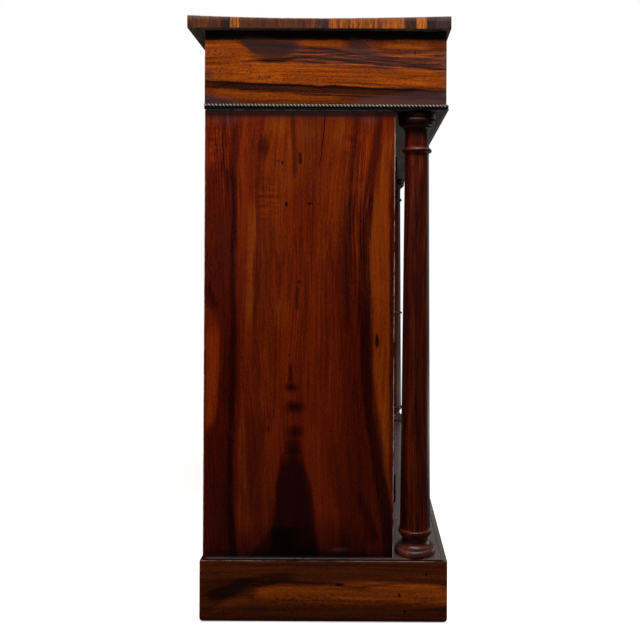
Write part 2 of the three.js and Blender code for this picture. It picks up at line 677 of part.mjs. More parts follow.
/** The tapering shaft with its rings, neck and capital, and a tenon at each end. */
function columnShaft() {
  const ringLow = BASE_TOP_Z + LOWER_RING_FILLET_HEIGHT;
  const ringTop = ringLow + LOWER_RING_HEIGHT;
  const ringMiddle = (ringLow + ringTop) / 2;
  const shaftLow = ringTop + APOPHYGE_HEIGHT;
  const neckLow = CAPITAL_LOW_Z - NECK_HEIGHT;
  const neckRingTop = neckLow - NECK_FILLET_HEIGHT;
  const neckRingLow = neckRingTop - NECK_RING_HEIGHT;
  const neckRingMiddle = (neckRingTop + neckRingLow) / 2;
  const shaftTop = neckRingLow - APOPHYGE_HEIGHT / 2;
  const footLip = SHAFT_FOOT_RADIUS + APOPHYGE_DEPTH;
  const topLip = SHAFT_TOP_RADIUS + APOPHYGE_DEPTH;
  const outline = [
    [0, PLINTH_HEIGHT - COLUMN_TENON_LENGTH],
    [COLUMN_TENON_RADIUS, PLINTH_HEIGHT - COLUMN_TENON_LENGTH],
    [COLUMN_TENON_RADIUS, BASE_TOP_Z],
    [LOWER_RING_FILLET_RADIUS, BASE_TOP_Z],
    [LOWER_RING_FILLET_RADIUS, ringLow],
    ...sweep([LOWER_RING_FILLET_RADIUS, ringLow], [LOWER_RING_RADIUS, ringMiddle], true, BEAD_STEPS),
    ...sweep([LOWER_RING_RADIUS, ringMiddle], [footLip, ringTop], false, BEAD_STEPS),
    [SHAFT_FOOT_RADIUS, shaftLow],
    [SHAFT_TOP_RADIUS, shaftTop],
    [topLip, neckRingLow],
    [NECK_RING_RADIUS, neckRingMiddle],
    [NECK_FILLET_RADIUS, neckRingTop],
    [NECK_FILLET_RADIUS, neckLow],
    [NECK_RADIUS, neckLow],
    [NECK_RADIUS, CAPITAL_LOW_Z],
    ...capitalOutline(),
    [COLUMN_TENON_RADIUS, FRIEZE_Z],
    [COLUMN_TENON_RADIUS, FRIEZE_Z + COLUMN_TENON_LENGTH],
    [0, FRIEZE_Z + COLUMN_TENON_LENGTH],
  ];
  return turned(outline, COLUMN_SEGMENTS);
}

function addColumns(group) {
  for (const [name, side] of Object.entries(SIDES)) {
    const column = new THREE.Group();
    column.position.set(side * COLUMN_X, COLUMN_Y, 0);
    group.add(column);
    piece(column, `column_${name}_base`, columnBase(), polished(COLUMN_WOOD));
    piece(column, `column_${name}_shaft`, columnShaft(), polished(COLUMN_WOOD));
  }
}

// Butt hinges, about an upright pin at x = 0, y = 0; the fixed leaf lies on the side given

/** One leaf with its knuckles, about the height of the hinge's centre. */
function hingeLeaf(side, centre, fixed) {
  const half = HINGE_HEIGHT / 2;
  const middle = HINGE_MIDDLE_KNUCKLE / 2;
  const direction = fixed ? side : -side;
  const leaf = box(
    direction * HINGE_LEAF_GAP,
    direction * (HINGE_LEAF_GAP + HINGE_LEAF_THICKNESS),
    0,
    HINGE_LEAF_WIDTH,
    centre - half,
    centre + half,
  );
  const outer = [[centre - half, centre - middle], [centre + middle, centre + half]];
  const inner = [[centre - middle + JOINT_GAP, centre + middle - JOINT_GAP]];
  const knuckle = ([z0, z1]) => post(0, 0, z0, z1, HINGE_KNUCKLE_RADIUS, HINGE_SEGMENTS);
  const clearRadius = HINGE_KNUCKLE_RADIUS + JOINT_GAP;
  const clearing = ([z0, z1]) => post(0, 0, z0, z1, clearRadius, HINGE_SEGMENTS);
  if (fixed) {
    const cleared = carve([leaf], [clearing([centre - middle, centre + middle])]);
    return carve([cleared, ...outer.map(knuckle), hingePin(centre)]);
  }
  const bore = post(0, 0, centre - half, centre + half, HINGE_BORE_RADIUS, HINGE_SEGMENTS);
  const ends = [
    [centre - half - OVERRUN, centre - middle + JOINT_GAP],
    [centre + middle - JOINT_GAP, centre + half + OVERRUN],
  ];
  return carve([carve([leaf], ends.map(clearing)), ...inner.map(knuckle)], [bore]);
}

/** A hinge pin, riveted in the fixed leaf's knuckles, with a small turned finial at each end. */
function hingePin(centre) {
  const half = HINGE_HEIGHT / 2;
  const low = centre - half;
  const high = centre + half;
  const outline = [
    [0, low - HINGE_FINIAL_HEIGHT],
    [HINGE_PIN_RADIUS, low - HINGE_FINIAL_HEIGHT],
    [HINGE_KNUCKLE_RADIUS, low],
    [HINGE_PIN_RADIUS, low],
    [HINGE_PIN_RADIUS, high],
    [HINGE_KNUCKLE_RADIUS, high],
    [HINGE_PIN_RADIUS, high + HINGE_FINIAL_HEIGHT],
    [0, high + HINGE_FINIAL_HEIGHT],
  ];
  return turned(outline, HINGE_SEGMENTS);
}

function addHinges(parent, name, side, fixed) {
  for (const [place, centre] of Object.entries(HINGE_CENTRES)) {
    const geometry = hingeLeaf(side, centre, fixed);
    const part = fixed ? 'fixed' : 'moving';
    piece(parent, `hinge_${name}_${place}_${part}`, geometry, brass());
  }
}

// Doors, in a frame whose origin is the hinge pin: u runs from the pin to the meeting edge

const DOOR_BOLT_U = DOOR_EDGE - DOOR_STILE_WIDTH / 2;
const DOOR_BOLT_FRONT = DOOR_BACK + BOLT_PLATE_THICKNESS + LOCK_SLIDE_CLEARANCE;
const STILE_INNER_U = HINGE_EDGE_GAP + DOOR_STILE_WIDTH;
const MEETING_INNER_U = DOOR_EDGE - DOOR_STILE_WIDTH;
const PANEL_LOW_Z = DOOR_LOW_Z + DOOR_BOTTOM_RAIL;
const PANEL_HIGH_Z = DOOR_HIGH_Z - DOOR_TOP_RAIL;
const PANEL_FRONT = DOOR_FRONT + PANEL_EDGE_SETBACK;
const PANEL_BACK = PANEL_FRONT + PANEL_EDGE_THICKNESS;
const TENON_FRONT = (DOOR_FRONT + DOOR_BACK - DOOR_TENON_THICKNESS) / 2;
const TENON_BACK = TENON_FRONT + DOOR_TENON_THICKNESS;

/** A box in door coordinates, which run towards the middle of the front. */
function doorBox(side, u0, u1, y0, y1, z0, z1) {
  return box(-side * u0, -side * u1, y0, y1, z0, z1);
}

/** The groove for the panel's edge, with room for the panel to move. */
function panelGroove(side) {
  const depth = PANEL_GROOVE_DEPTH + PANEL_GROOVE_CLEARANCE;
  return doorBox(
    side,
    STILE_INNER_U - depth,
    MEETING_INNER_U + depth,
    PANEL_FRONT - JOINT_GAP,
    PANEL_BACK + JOINT_GAP,
    PANEL_LOW_Z - depth,
    PANEL_HIGH_Z + depth,
  );
}

/** The chamfer round the front of the frame's opening. */
function frameChamfer(side) {
  const grow = DOOR_CHAMFER + OVERRUN;
  const at = (by) => [
    -side * (STILE_INNER_U - by),
    -side * (MEETING_INNER_U + by),
    PANEL_LOW_Z - by,
    PANEL_HIGH_Z + by,
  ];
  return taperedBox(DOOR_FRONT - OVERRUN, at(grow), DOOR_FRONT + DOOR_CHAMFER, at(0));
}

/** The two rail tenons or, with a clearance, the mortises that take them. */
function tenon(side, atHinge, z0, z1, clearance) {
  const shoulder = atHinge ? STILE_INNER_U : MEETING_INNER_U;
  const run = atHinge ? -(DOOR_TENON_LENGTH + clearance) : DOOR_TENON_LENGTH + clearance;
  return doorBox(
    side,
    shoulder,
    shoulder + run,
    TENON_FRONT - clearance,
    TENON_BACK + clearance,
    z0 - clearance,
    z1 + clearance,
  );
}

const RAILS = {
  bottom: {
    low: DOOR_LOW_Z,
    high: PANEL_LOW_Z,
    tenonLow: DOOR_LOW_Z + DOOR_TENON_SHOULDER,
    tenonHigh: PANEL_LOW_Z - PANEL_GROOVE_DEPTH - PANEL_GROOVE_CLEARANCE,
  },
  top: {
    low: PANEL_HIGH_Z,
    high: DOOR_HIGH_Z,
    tenonLow: PANEL_HIGH_Z + PANEL_GROOVE_DEPTH + PANEL_GROOVE_CLEARANCE,
    tenonHigh: DOOR_HIGH_Z - DOOR_TENON_SHOULDER,
  },
};

function doorMortises(side, atHinge) {
  return Object.values(RAILS).map((rail) => tenon(side, atHinge, rail.tenonLow, rail.tenonHigh, JOINT_GAP));
}

function doorPanel(side) {
  const edge = doorBox(
    side,
    STILE_INNER_U - PANEL_GROOVE_DEPTH,
    MEETING_INNER_U + PANEL_GROOVE_DEPTH,
    PANEL_FRONT,
    PANEL_BACK,
    PANEL_LOW_Z - PANEL_GROOVE_DEPTH,
    PANEL_HIGH_Z + PANEL_GROOVE_DEPTH,
  );
  const at = (by) => [
    -side * (STILE_INNER_U + by),
    -side * (MEETING_INNER_U - by),
    PANEL_LOW_Z + by,
    PANEL_HIGH_Z - by,
  ];
  const middle = (PANEL_FRONT + PANEL_BACK) / 2;
  const field = taperedBox(
    PANEL_FRONT - PANEL_FIELD_RAISE,
    at(PANEL_FIELD_MARGIN + PANEL_FIELD_BEVEL),
    middle,
    at(PANEL_FIELD_MARGIN),
  );
  return carve([edge, field]);
}

function addDoor(parent, name, side) {
  const door = new THREE.Group();
  door.position.set(side * HINGE_X, HINGE_Y, 0);
  parent.add(door);

  const hingeStile = doorBox(
    side,
    HINGE_EDGE_GAP,
    STILE_INNER_U,
    DOOR_FRONT,
    DOOR_BACK,
    DOOR_LOW_Z,
    DOOR_HIGH_Z,
  );
  const leafRecesses = Object.values(HINGE_CENTRES).map((z) =>
    doorBox(
      side,
      0,
      HINGE_LEAF_GAP + HINGE_LEAF_THICKNESS,
      DOOR_FRONT - OVERRUN,
      HINGE_LEAF_WIDTH + JOINT_GAP,
      z - HINGE_HEIGHT / 2 - JOINT_GAP,
      z + HINGE_HEIGHT / 2 + JOINT_GAP,
    ),
  );
  const hingeCuts = [panelGroove(side), frameChamfer(side), ...doorMortises(side, true), ...leafRecesses];
  piece(door, `door_${name}_hinge_stile`, carve([hingeStile], hingeCuts), polished(ROSEWOOD));

  const meeting = doorBox(side, MEETING_INNER_U, DOOR_EDGE, DOOR_FRONT, DOOR_BACK, DOOR_LOW_Z, DOOR_HIGH_Z);
  const fittings = side > 0 ? lockCuts(side) : [strikeMortise(side)];
  const meetingCuts = [panelGroove(side), frameChamfer(side), ...doorMortises(side, false), ...fittings];
  piece(door, `door_${name}_meeting_stile`, carve([meeting], meetingCuts), polished(ROSEWOOD));

  const grooves = [panelGroove(side), frameChamfer(side)];
  for (const [place, rail] of Object.entries(RAILS)) {
    const body = doorBox(side, STILE_INNER_U, MEETING_INNER_U, DOOR_FRONT, DOOR_BACK, rail.low, rail.high);
    const tenons = [true, false].map((atHinge) => tenon(side, atHinge, rail.tenonLow, rail.tenonHigh, 0));
    const carved = carve([body], grooves);
    piece(door, `door_${name}_${place}_rail`, carve([carved, ...tenons]), polished(ROSEWOOD));
  }

  piece(door, `door_${name}_panel`, doorPanel(side), polished(PANEL_WOOD));
  addHinges(door, name, side, false);
  return door;
}

// Lock of the right-hand door

const LOCK_CASE_BACK = DOOR_BACK;
const LOCK_CASE_FRONT = DOOR_BACK - LOCK_CASE_DEPTH;
const LOCK_BOLT_FRONT = (LOCK_CASE_FRONT + LOCK_CASE_BACK - LOCK_BOLT_THICKNESS) / 2;
const LOCK_CASE_LOW_Z = LOCK_Z - LOCK_CASE_DROP;
const KEY_U = DOOR_EDGE - KEY_BACKSET;

/** The keyhole: a round hole over a slot that lets the bit through, between two depths. */
function keyhole(side, y0, y1) {
  const bore = KEY_SHANK_RADIUS + KEY_BORE_CLEARANCE;
  const slot = KEY_BIT_THICKNESS / 2 + KEY_BORE_CLEARANCE;
  const round = peg(-side * KEY_U, LOCK_Z, y0, y1, bore, KEY_SEGMENTS);
  const drop = doorBox(
    side,
    KEY_U - slot,
    KEY_U + slot,
    y0,
    y1,
    LOCK_Z - KEY_BIT_REACH - KEY_BORE_CLEARANCE,
    LOCK_Z,
  );
  return carve([round, drop]);
}

function lockCuts(side) {
  const recess = doorBox(
    side,
    DOOR_EDGE - LOCK_CASE_LENGTH - JOINT_GAP,
    DOOR_EDGE + OVERRUN,
    LOCK_CASE_FRONT - JOINT_GAP,
    DOOR_BACK + OVERRUN,
    LOCK_CASE_LOW_Z - JOINT_GAP,
    LOCK_CASE_LOW_Z + LOCK_CASE_HEIGHT + JOINT_GAP,
  );
  return [recess, keyhole(side, DOOR_FRONT - OVERRUN, LOCK_CASE_FRONT)];
}

/** The mortise in the other door's edge that takes the lock bolt. */
function strikeMortise(side) {
  const head = LOCK_BOLT_HEAD_HEIGHT / 2;
  const middle = LOCK_Z + LOCK_BOLT_HEIGHT / 2 - LOCK_BOLT_DROP;
  return doorBox(
    side,
    DOOR_EDGE - LOCK_BOLT_THROW,
    DOOR_EDGE + OVERRUN,
    LOCK_BOLT_FRONT - JOINT_GAP - JOINT_GAP,
    LOCK_BOLT_FRONT + LOCK_BOLT_THICKNESS + JOINT_GAP + JOINT_GAP,
    middle - head - JOINT_GAP - JOINT_GAP,
    middle + head + JOINT_GAP + JOINT_GAP,
  );
}

function addLock(door, side) {
  const inside = LOCK_SLIDE_CLEARANCE;
  const boltLow = LOCK_Z - LOCK_BOLT_DROP;
  const boltHigh = boltLow + LOCK_BOLT_HEIGHT;
  const headLow = (boltLow + boltHigh - LOCK_BOLT_HEAD_HEIGHT) / 2;
  const boltTip = DOOR_EDGE - LOCK_SLIDE_CLEARANCE;
  const tailU = boltTip - LOCK_BOLT_LENGTH;
  const bodyTip = boltTip - LOCK_WALL - LOCK_BOLT_THROW;
  const boltBack = LOCK_BOLT_FRONT + LOCK_BOLT_THICKNESS;

  const shell = doorBox(
    side,
    DOOR_EDGE - LOCK_CASE_LENGTH,
    DOOR_EDGE,
    LOCK_CASE_FRONT,
    LOCK_CASE_BACK,
    LOCK_CASE_LOW_Z,
    LOCK_CASE_LOW_Z + LOCK_CASE_HEIGHT,
  );
  const chamber = doorBox(
    side,
    DOOR_EDGE - LOCK_CASE_LENGTH + LOCK_WALL,
    DOOR_EDGE - LOCK_WALL,
    LOCK_BOLT_FRONT - inside,
    boltBack + inside,
    boltLow - inside,
    boltHigh + inside,
  );
  const mouth = doorBox(
    side,
    DOOR_EDGE - LOCK_WALL - OVERRUN,
    DOOR_EDGE + OVERRUN,
    LOCK_BOLT_FRONT - inside,
    boltBack + inside,
    headLow - inside,
    headLow + LOCK_BOLT_HEAD_HEIGHT + inside,
  );
  const caseHole = keyhole(side, LOCK_CASE_FRONT - OVERRUN, LOCK_BOLT_FRONT + inside);
  piece(door, 'lock_case', carve([shell], [chamber, mouth, caseHole]), steel());

  const plate = doorBox(side, tailU, bodyTip, LOCK_BOLT_FRONT, boltBack, boltLow, boltHigh);
  const head = doorBox(
    side,
    bodyTip - OVERRUN,
    boltTip,
    LOCK_BOLT_FRONT,
    boltBack,
    headLow,
    headLow + LOCK_BOLT_HEAD_HEIGHT,
  );
  const bore = KEY_SHANK_RADIUS + KEY_BORE_CLEARANCE;
  const talon = doorBox(
    side,
    KEY_U - LOCK_BOLT_THROW - bore,
    KEY_U + bore,
    LOCK_BOLT_FRONT - OVERRUN,
    boltBack + OVERRUN,
    LOCK_Z - bore,
    LOCK_Z + KEY_BIT_REACH + KEY_BORE_CLEARANCE,
  );
  piece(door, 'lock_bolt', carve([plate, head], [talon]), steel());
}

/** The key: a shank along Y with a bit inside the lock and a bow turned level. */
function addKey(door, side) {
  const key = new THREE.Group();
  key.position.set(-side * KEY_U, 0, LOCK_Z);
  door.add(key);
  const tip = LOCK_BOLT_FRONT + LOCK_BOLT_THICKNESS;
  const bowCentre = DOOR_FRONT - KEY_PROJECTION + KEY_BOW_RADIUS + KEY_BOW_WIRE_RADIUS;
  const shankStart = bowCentre + KEY_BOW_RADIUS - KEY_BOW_WIRE_RADIUS;
  const shank = peg(0, 0, shankStart, tip, KEY_SHANK_RADIUS, KEY_SEGMENTS);
  const collarBack = DOOR_FRONT - KEY_COLLAR_LENGTH;
  const collar = peg(0, 0, collarBack - KEY_COLLAR_LENGTH, collarBack, KEY_COLLAR_RADIUS, KEY_SEGMENTS);
  const bit = box(
    0,
    side * KEY_BIT_REACH,
    LOCK_BOLT_FRONT + LOCK_SLIDE_CLEARANCE,
    LOCK_BOLT_FRONT + LOCK_SLIDE_CLEARANCE + KEY_BIT_WIDTH,
    -KEY_BIT_THICKNESS / 2,
    KEY_BIT_THICKNESS / 2,
  );
  const bow = new THREE.TorusGeometry(
    KEY_BOW_RADIUS,
    KEY_BOW_WIRE_RADIUS,
    KEY_WIRE_SEGMENTS,
    KEY_BOW_SEGMENTS,
  );
  bow.translate(0, bowCentre, 0);
  piece(key, 'key', carve([shank, collar, bit, bow]), steel());
}

// Barrel bolts of the left-hand door: a plate with two keepers, and a bar that slides in them

function addDoorBolts(door, side) {
  const back = DOOR_BOLT_FRONT + DOOR_BOLT_THICKNESS;
  const half = DOOR_BOLT_WIDTH / 2;
  const across = (reach, y0, y1, z0, z1) =>
    doorBox(side, DOOR_BOLT_U - reach, DOOR_BOLT_U + reach, y0, y1, z0, z1);
  for (const [place, end, way] of [['top', DOOR_HIGH_Z, -1], ['bottom', DOOR_LOW_Z, 1]]) {
    const tip = end + way * (DOOR_BOLT_SETBACK - DOOR_END_GAP);
    const bar = across(half, DOOR_BOLT_FRONT, back, tip, tip + way * DOOR_BOLT_LENGTH);
    const knobZ = tip + way * DOOR_BOLT_KNOB_INSET;
    const knobEnd = back + DOOR_BOLT_KNOB_HEIGHT;
    const knobX = -side * DOOR_BOLT_U;
    const knob = peg(knobX, knobZ, DOOR_BOLT_FRONT, knobEnd, DOOR_BOLT_KNOB_RADIUS, KEY_SEGMENTS);
    piece(door, `door_bolt_${place}`, carve([bar, knob]), brass());

    const plateEnd = end + way * BOLT_PLATE_LENGTH;
    const plate = across(BOLT_PLATE_WIDTH / 2, DOOR_BACK, DOOR_BACK + BOLT_PLATE_THICKNESS, end, plateEnd);
    const keepers = [KEEPER_FIRST_INSET, KEEPER_SECOND_INSET].map((inset) => {
      const z = end + way * inset;
      const outer = half + LOCK_SLIDE_CLEARANCE + KEEPER_WALL;
      const keeperBack = back + LOCK_SLIDE_CLEARANCE + KEEPER_WALL;
      return across(outer, DOOR_BACK, keeperBack, z, z + way * KEEPER_HEIGHT);
    });
    const slot = across(
      half + LOCK_SLIDE_CLEARANCE,
      DOOR_BACK + BOLT_PLATE_THICKNESS,
      back + LOCK_SLIDE_CLEARANCE,
      end - way * OVERRUN,
      plateEnd + way * OVERRUN,
    );
    piece(door, `door_bolt_plate_${place}`, carve([plate, ...keepers], [slot]), brass());
  }
}

// Frieze drawers, in a frame whose x = 0 is the middle of the drawer's front

const DRAWER_OPENING = FRIEZE_INNER_X - DIVIDER_THICKNESS / 2;
const DRAWER_X = (FRIEZE_INNER_X + DIVIDER_THICKNESS / 2) / 2;
const DRAWER_HALF = DRAWER_OPENING / 2 - DRAWER_SIDE_CLEARANCE;
const DRAWER_FRONT_BACK_Y = FRIEZE_Y + DRAWER_FRONT_THICKNESS;
const DRAWER_END_Y = -BACK_BOARD - DRAWER_BACK_CLEARANCE;
const DRAWER_SIDE_LOW_Z = RUNNER_Z + DRAWER_RUN_CLEARANCE;
const DRAWER_SIDE_HIGH_Z = DRAWER_SIDE_LOW_Z + DRAWER_SIDE_HEIGHT;
const DRAWER_BOTTOM_Z = DRAWER_SIDE_LOW_Z + DRAWER_BOTTOM_RISE;

/** The outline of one dovetail as [y, z] points, grown by a clearance. */
function dovetail(index, clearance) {
  const pitch = DRAWER_SIDE_HEIGHT / DOVETAIL_COUNT;
  const centre = DRAWER_SIDE_LOW_Z + pitch * index + pitch / 2;
  const root = (pitch * DOVETAIL_ROOT_SHARE) / 2 + clearance;
  const tip = (pitch * DOVETAIL_TIP_SHARE) / 2 + clearance;
  const end = DRAWER_FRONT_BACK_Y - DOVETAIL_LENGTH - clearance;
  return [
    [DRAWER_FRONT_BACK_Y, centre + root],
    [end, centre + tip],
    [end, centre - tip],
    [DRAWER_FRONT_BACK_Y, centre - root],
  ];
}

/** Tails of a drawer side or, with a clearance, the sockets in the front that take them. */
function dovetails(x0, x1, clearance) {
  const tails = [];
  for (let i = 0; i < DOVETAIL_COUNT; i += 1) {
    const outline = dovetail(i, clearance);
    tails.push(prism(outline, Math.min(x0, x1), Math.max(x0, x1), (y, z, x) => [x, y, z]));
  }
  return tails;
}

/** The drawer bottom's board, or the groove round it when a clearance is given. */
function drawerBottom(clearance) {
  const reach = DRAWER_HALF - DRAWER_SIDE_THICKNESS + DRAWER_GROOVE_DEPTH + clearance;
  return box(
    -reach,
    reach,
    DRAWER_FRONT_BACK_Y - DRAWER_GROOVE_DEPTH - clearance,
    DRAWER_END_Y + (clearance > 0 ? OVERRUN : 0),
    DRAWER_BOTTOM_Z - clearance,
    DRAWER_BOTTOM_Z + DRAWER_BOTTOM_THICKNESS + clearance,
  );
}

function addKnob(drawer, name) {
  const face = FRIEZE_Y;
  const tip = face - KNOB_PROJECTION;
  const rimFront = tip + KNOB_DOME_HEIGHT;
  const rimBack = rimFront + KNOB_RIM_THICKNESS;
  const outline = [
    [0, -DRAWER_FRONT_BACK_Y],
    [KNOB_TENON_RADIUS, -DRAWER_FRONT_BACK_Y],
    [KNOB_TENON_RADIUS, -face],
    [KNOB_FOOT_RADIUS, -face],
    [KNOB_FOOT_RADIUS, KNOB_FOOT_THICKNESS - face],
    ...sweep(
      [KNOB_FOOT_RADIUS, KNOB_FOOT_THICKNESS - face],
      [KNOB_NECK_RADIUS, -rimBack],
      true,
      BEAD_STEPS,
    ),
    [KNOB_RADIUS, -rimBack],
    [KNOB_RADIUS, -rimFront],
    ...sweep([KNOB_RADIUS, -rimFront], [0, -tip], false, KNOB_DOME_STEPS),
  ];
  const knob = turned(outline, KNOB_SEGMENTS);
  knob.rotateX(Math.PI / 2);
  knob.translate(0, 0, KNOB_Z);
  piece(drawer, `drawer_${name}_knob`, knob, polished(COLUMN_WOOD));
}

function addDrawer(parent, name, side) {
  const drawer = new THREE.Group();
  drawer.position.set(side * DRAWER_X, 0, 0);
  parent.add(drawer);

  const front = box(
    -DRAWER_HALF,
    DRAWER_HALF,
    FRIEZE_Y,
    DRAWER_FRONT_BACK_Y,
    RUNNER_Z + DRAWER_REVEAL,
    OPENING_TOP_Z - DRAWER_REVEAL,
  );
  const inner = DRAWER_HALF - DRAWER_SIDE_THICKNESS;
  const cuts = [drawerBottom(DRAWER_GROOVE_CLEARANCE)];
  for (const [handName, hand] of Object.entries(SIDES)) {
    const outer = hand * (DRAWER_HALF + OVERRUN);
    cuts.push(...dovetails(hand * (inner - DOVETAIL_CLEARANCE), outer, DOVETAIL_CLEARANCE));
    const board = box(
      hand * inner,
      hand * DRAWER_HALF,
      DRAWER_FRONT_BACK_Y,
      DRAWER_END_Y,
      DRAWER_SIDE_LOW_Z,
      DRAWER_SIDE_HIGH_Z,
    );
    const tails = dovetails(hand * inner, hand * DRAWER_HALF, 0);
    const drawerSide = carve([board, ...tails], [drawerBottom(DRAWER_GROOVE_CLEARANCE)]);
    piece(drawer, `drawer_${name}_${handName}_side`, drawerSide, plain(MAHOGANY));
  }
  const hole = KNOB_TENON_RADIUS + JOINT_GAP;
  cuts.push(peg(0, KNOB_Z, FRIEZE_Y - OVERRUN, DRAWER_FRONT_BACK_Y + OVERRUN, hole, KNOB_SEGMENTS));
  piece(drawer, `drawer_${name}_front`, carve([front], cuts), polished(ROSEWOOD));
  piece(drawer, `drawer_${name}_bottom`, drawerBottom(0), plain(PINE));

  const back = box(
    -inner,
    inner,
    DRAWER_END_Y - DRAWER_BACK_THICKNESS,
    DRAWER_END_Y,
    DRAWER_BOTTOM_Z + DRAWER_BOTTOM_THICKNESS,
    DRAWER_SIDE_HIGH_Z,
  );
  piece(drawer, `drawer_${name}_back`, back, plain(MAHOGANY));
  addKnob(drawer, name);
}

const chiffonier = new THREE.Group();
const frontmost = FRIEZE_Y - KNOB_PROJECTION;
chiffonier.position.y = -(frontmost + TOP_BACK_OVERHANG) / 2;
addPlinth(chiffonier);
addCarcase(chiffonier);
addFrieze(chiffonier);
addRopeMoulding(chiffonier);
addTop(chiffonier);
addColumns(chiffonier);
for (const [name, side] of Object.entries(SIDES)) {
  const fixedLeaves = new THREE.Group();
  fixedLeaves.position.set(side * HINGE_X, HINGE_Y, 0);
  chiffonier.add(fixedLeaves);
  addHinges(fixedLeaves, name, side, true);
  const door = addDoor(chiffonier, name, side);
  if (side > 0) {
    addLock(door, side);
    addKey(door, side);
  } else {
    addDoorBolts(door, side);
  }
  addDrawer(chiffonier, name, side);
}

export default chiffonier;
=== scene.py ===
"""Looks of a small chiffonier: two doors below two frieze drawers, with free-standing columns.

Lengths are in millimetres of the real object unless a comment says otherwise, and MM makes them
metres. The boards keep the sizes of the fixed frame. Turned and carved work is made afresh and
finer here.
"""

import json
import logging
import math
from dataclasses import dataclass, field, replace
from enum import Enum
from typing import Dict, List, Optional, Sequence, Tuple, Union

import bmesh
import bpy
from mathutils import Matrix, Vector

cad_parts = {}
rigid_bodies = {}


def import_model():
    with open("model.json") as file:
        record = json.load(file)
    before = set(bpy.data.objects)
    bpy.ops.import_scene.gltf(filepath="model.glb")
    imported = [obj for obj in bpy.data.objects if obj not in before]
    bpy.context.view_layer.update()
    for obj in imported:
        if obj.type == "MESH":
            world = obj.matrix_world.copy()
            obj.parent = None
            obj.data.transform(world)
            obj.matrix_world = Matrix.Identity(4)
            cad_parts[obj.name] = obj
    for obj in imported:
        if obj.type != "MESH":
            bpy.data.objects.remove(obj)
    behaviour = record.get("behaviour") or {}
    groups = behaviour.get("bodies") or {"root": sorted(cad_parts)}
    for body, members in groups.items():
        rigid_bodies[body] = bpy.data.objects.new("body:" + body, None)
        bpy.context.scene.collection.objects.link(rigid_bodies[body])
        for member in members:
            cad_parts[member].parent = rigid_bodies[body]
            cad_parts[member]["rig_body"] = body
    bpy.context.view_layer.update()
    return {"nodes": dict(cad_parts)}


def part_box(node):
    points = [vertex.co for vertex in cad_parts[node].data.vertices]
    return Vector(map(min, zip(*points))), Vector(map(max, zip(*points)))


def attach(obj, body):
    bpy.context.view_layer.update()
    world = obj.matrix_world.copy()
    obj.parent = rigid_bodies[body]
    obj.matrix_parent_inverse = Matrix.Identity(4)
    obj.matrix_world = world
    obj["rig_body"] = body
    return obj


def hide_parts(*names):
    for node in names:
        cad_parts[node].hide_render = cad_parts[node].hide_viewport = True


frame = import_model()
LOG = logging.getLogger("chiffonier")
MM = 0.001
ARRIS = "arris"
SIDES = ("left", "right")
# Points of a frame board nearer than this are one.
MERGE_DISTANCE = 0.01
# The same on cuts and turned outlines, in metres.
CUT_DISTANCE = 1e-6
FINE_CUT_DISTANCE = 1e-7
# Faces beside a turned arris wear if they are smaller, in square metres.
WORN_AREA = 4e-6
# Faces that meet at less than this are one flat face.
FLAT_ANGLE = math.radians(1)
# Arrises that turn by more than this are softened, and wear.
SHARP_ANGLE = math.radians(30)
# Rounded faces that meet at less than this are shaded as one.
SMOOTH_ANGLE = math.radians(38)
# How far down a worn arris may look.
DOWNWARD = -0.3
# How far a face has to look to a side, to be finished as it.
SHOWN = 0.35
# How far it has to look there, to be the flat side itself.
SQUARE = 0.9
ALONG_X = Vector((1, 0, 0))
ALONG_Y = Vector((0, 1, 0))
FORWARD = Vector((0, -1, 0))
UPWARD = Vector((0, 0, 1))

Point = Tuple[float, float]
Place = Tuple[float, float, float]
Colour = Tuple[float, float, float, float]
Tint = Tuple[float, str]
Mesh = bmesh.types.BMesh
Piece = bpy.types.Object
Material = bpy.types.Material
Socket = bpy.types.NodeSocket
Value = Union[bpy.types.NodeSocket, float]
WHITE: Colour = (1, 1, 1, 1)


class Grain(Enum):
    """The way the grain of a board runs, as the turn that lays it along the pattern's first axis."""

    ACROSS_FRONT = (0.0, 0.0, 0.0)
    FRONT_TO_BACK = (0.0, 0.0, -math.pi / 2)
    UPRIGHT = (0.0, math.pi / 2, 0.0)


class Facing(Enum):
    """The way a face looks, for boards whose faces are finished differently."""

    FRONT = (0.0, -1.0, 0.0)
    BACK = (0.0, 1.0, 0.0)
    LEFT = (-1.0, 0.0, 0.0)
    RIGHT = (1.0, 0.0, 0.0)
    UP = (0.0, 0.0, 1.0)
    DOWN = (0.0, 0.0, -1.0)


class Effect(Enum):
    """What a placed mark changes: tone, golden hue, grey bloom, cross ripple, lines or burr eyes."""

    TONE = 0
    GOLD = 1
    HAZE = 2
    RIPPLE = 3
    LINES = 4
    EYES = 5


# The same by their plain names, for the tables of marks.
_, GOLD, HAZE, RIPPLE, LINES, EYES = Effect
Marks = Dict[Effect, Value]


def linear(hex_colour: str) -> Colour:
    """Turns an sRGB colour such as "a84b17" into linear light, by sRGB's own curve.

    Args:
        hex_colour: six hexadecimal digits.

    Returns:
        Red, green, blue and alpha, each from 0 to 1.
    """
    shares = [int(hex_colour[i : i + 2], 16) / 255 for i in (0, 2, 4)]
    light = [s / 12.92 if s <= 0.04045 else ((s + 0.055) / 1.055) ** 2.4 for s in shares]
    return (light[0], light[1], light[2], 1.0)


@dataclass(frozen=True)
class Pattern:
    """A soft random pattern of spots.

    Args:
        along: length of a spot along the grain in mm.
        across: its width across the grain in mm.
        detail: how many finer patterns lie over it.
        rough: how strong those are.
        low: value at which a spot begins to show.
        high: value at which it shows in full; below low where the small values are the spots.
    """

    along: float
    across: float
    detail: float = 2.0
    rough: float = 0.5
    low: float = 0.0
    high: float = 1.0


# The slow wander of the grain, and how far it carries a line aside in mm.
WANDER = Pattern(330, 95, 1.0)
WANDER_REACH = 42.0
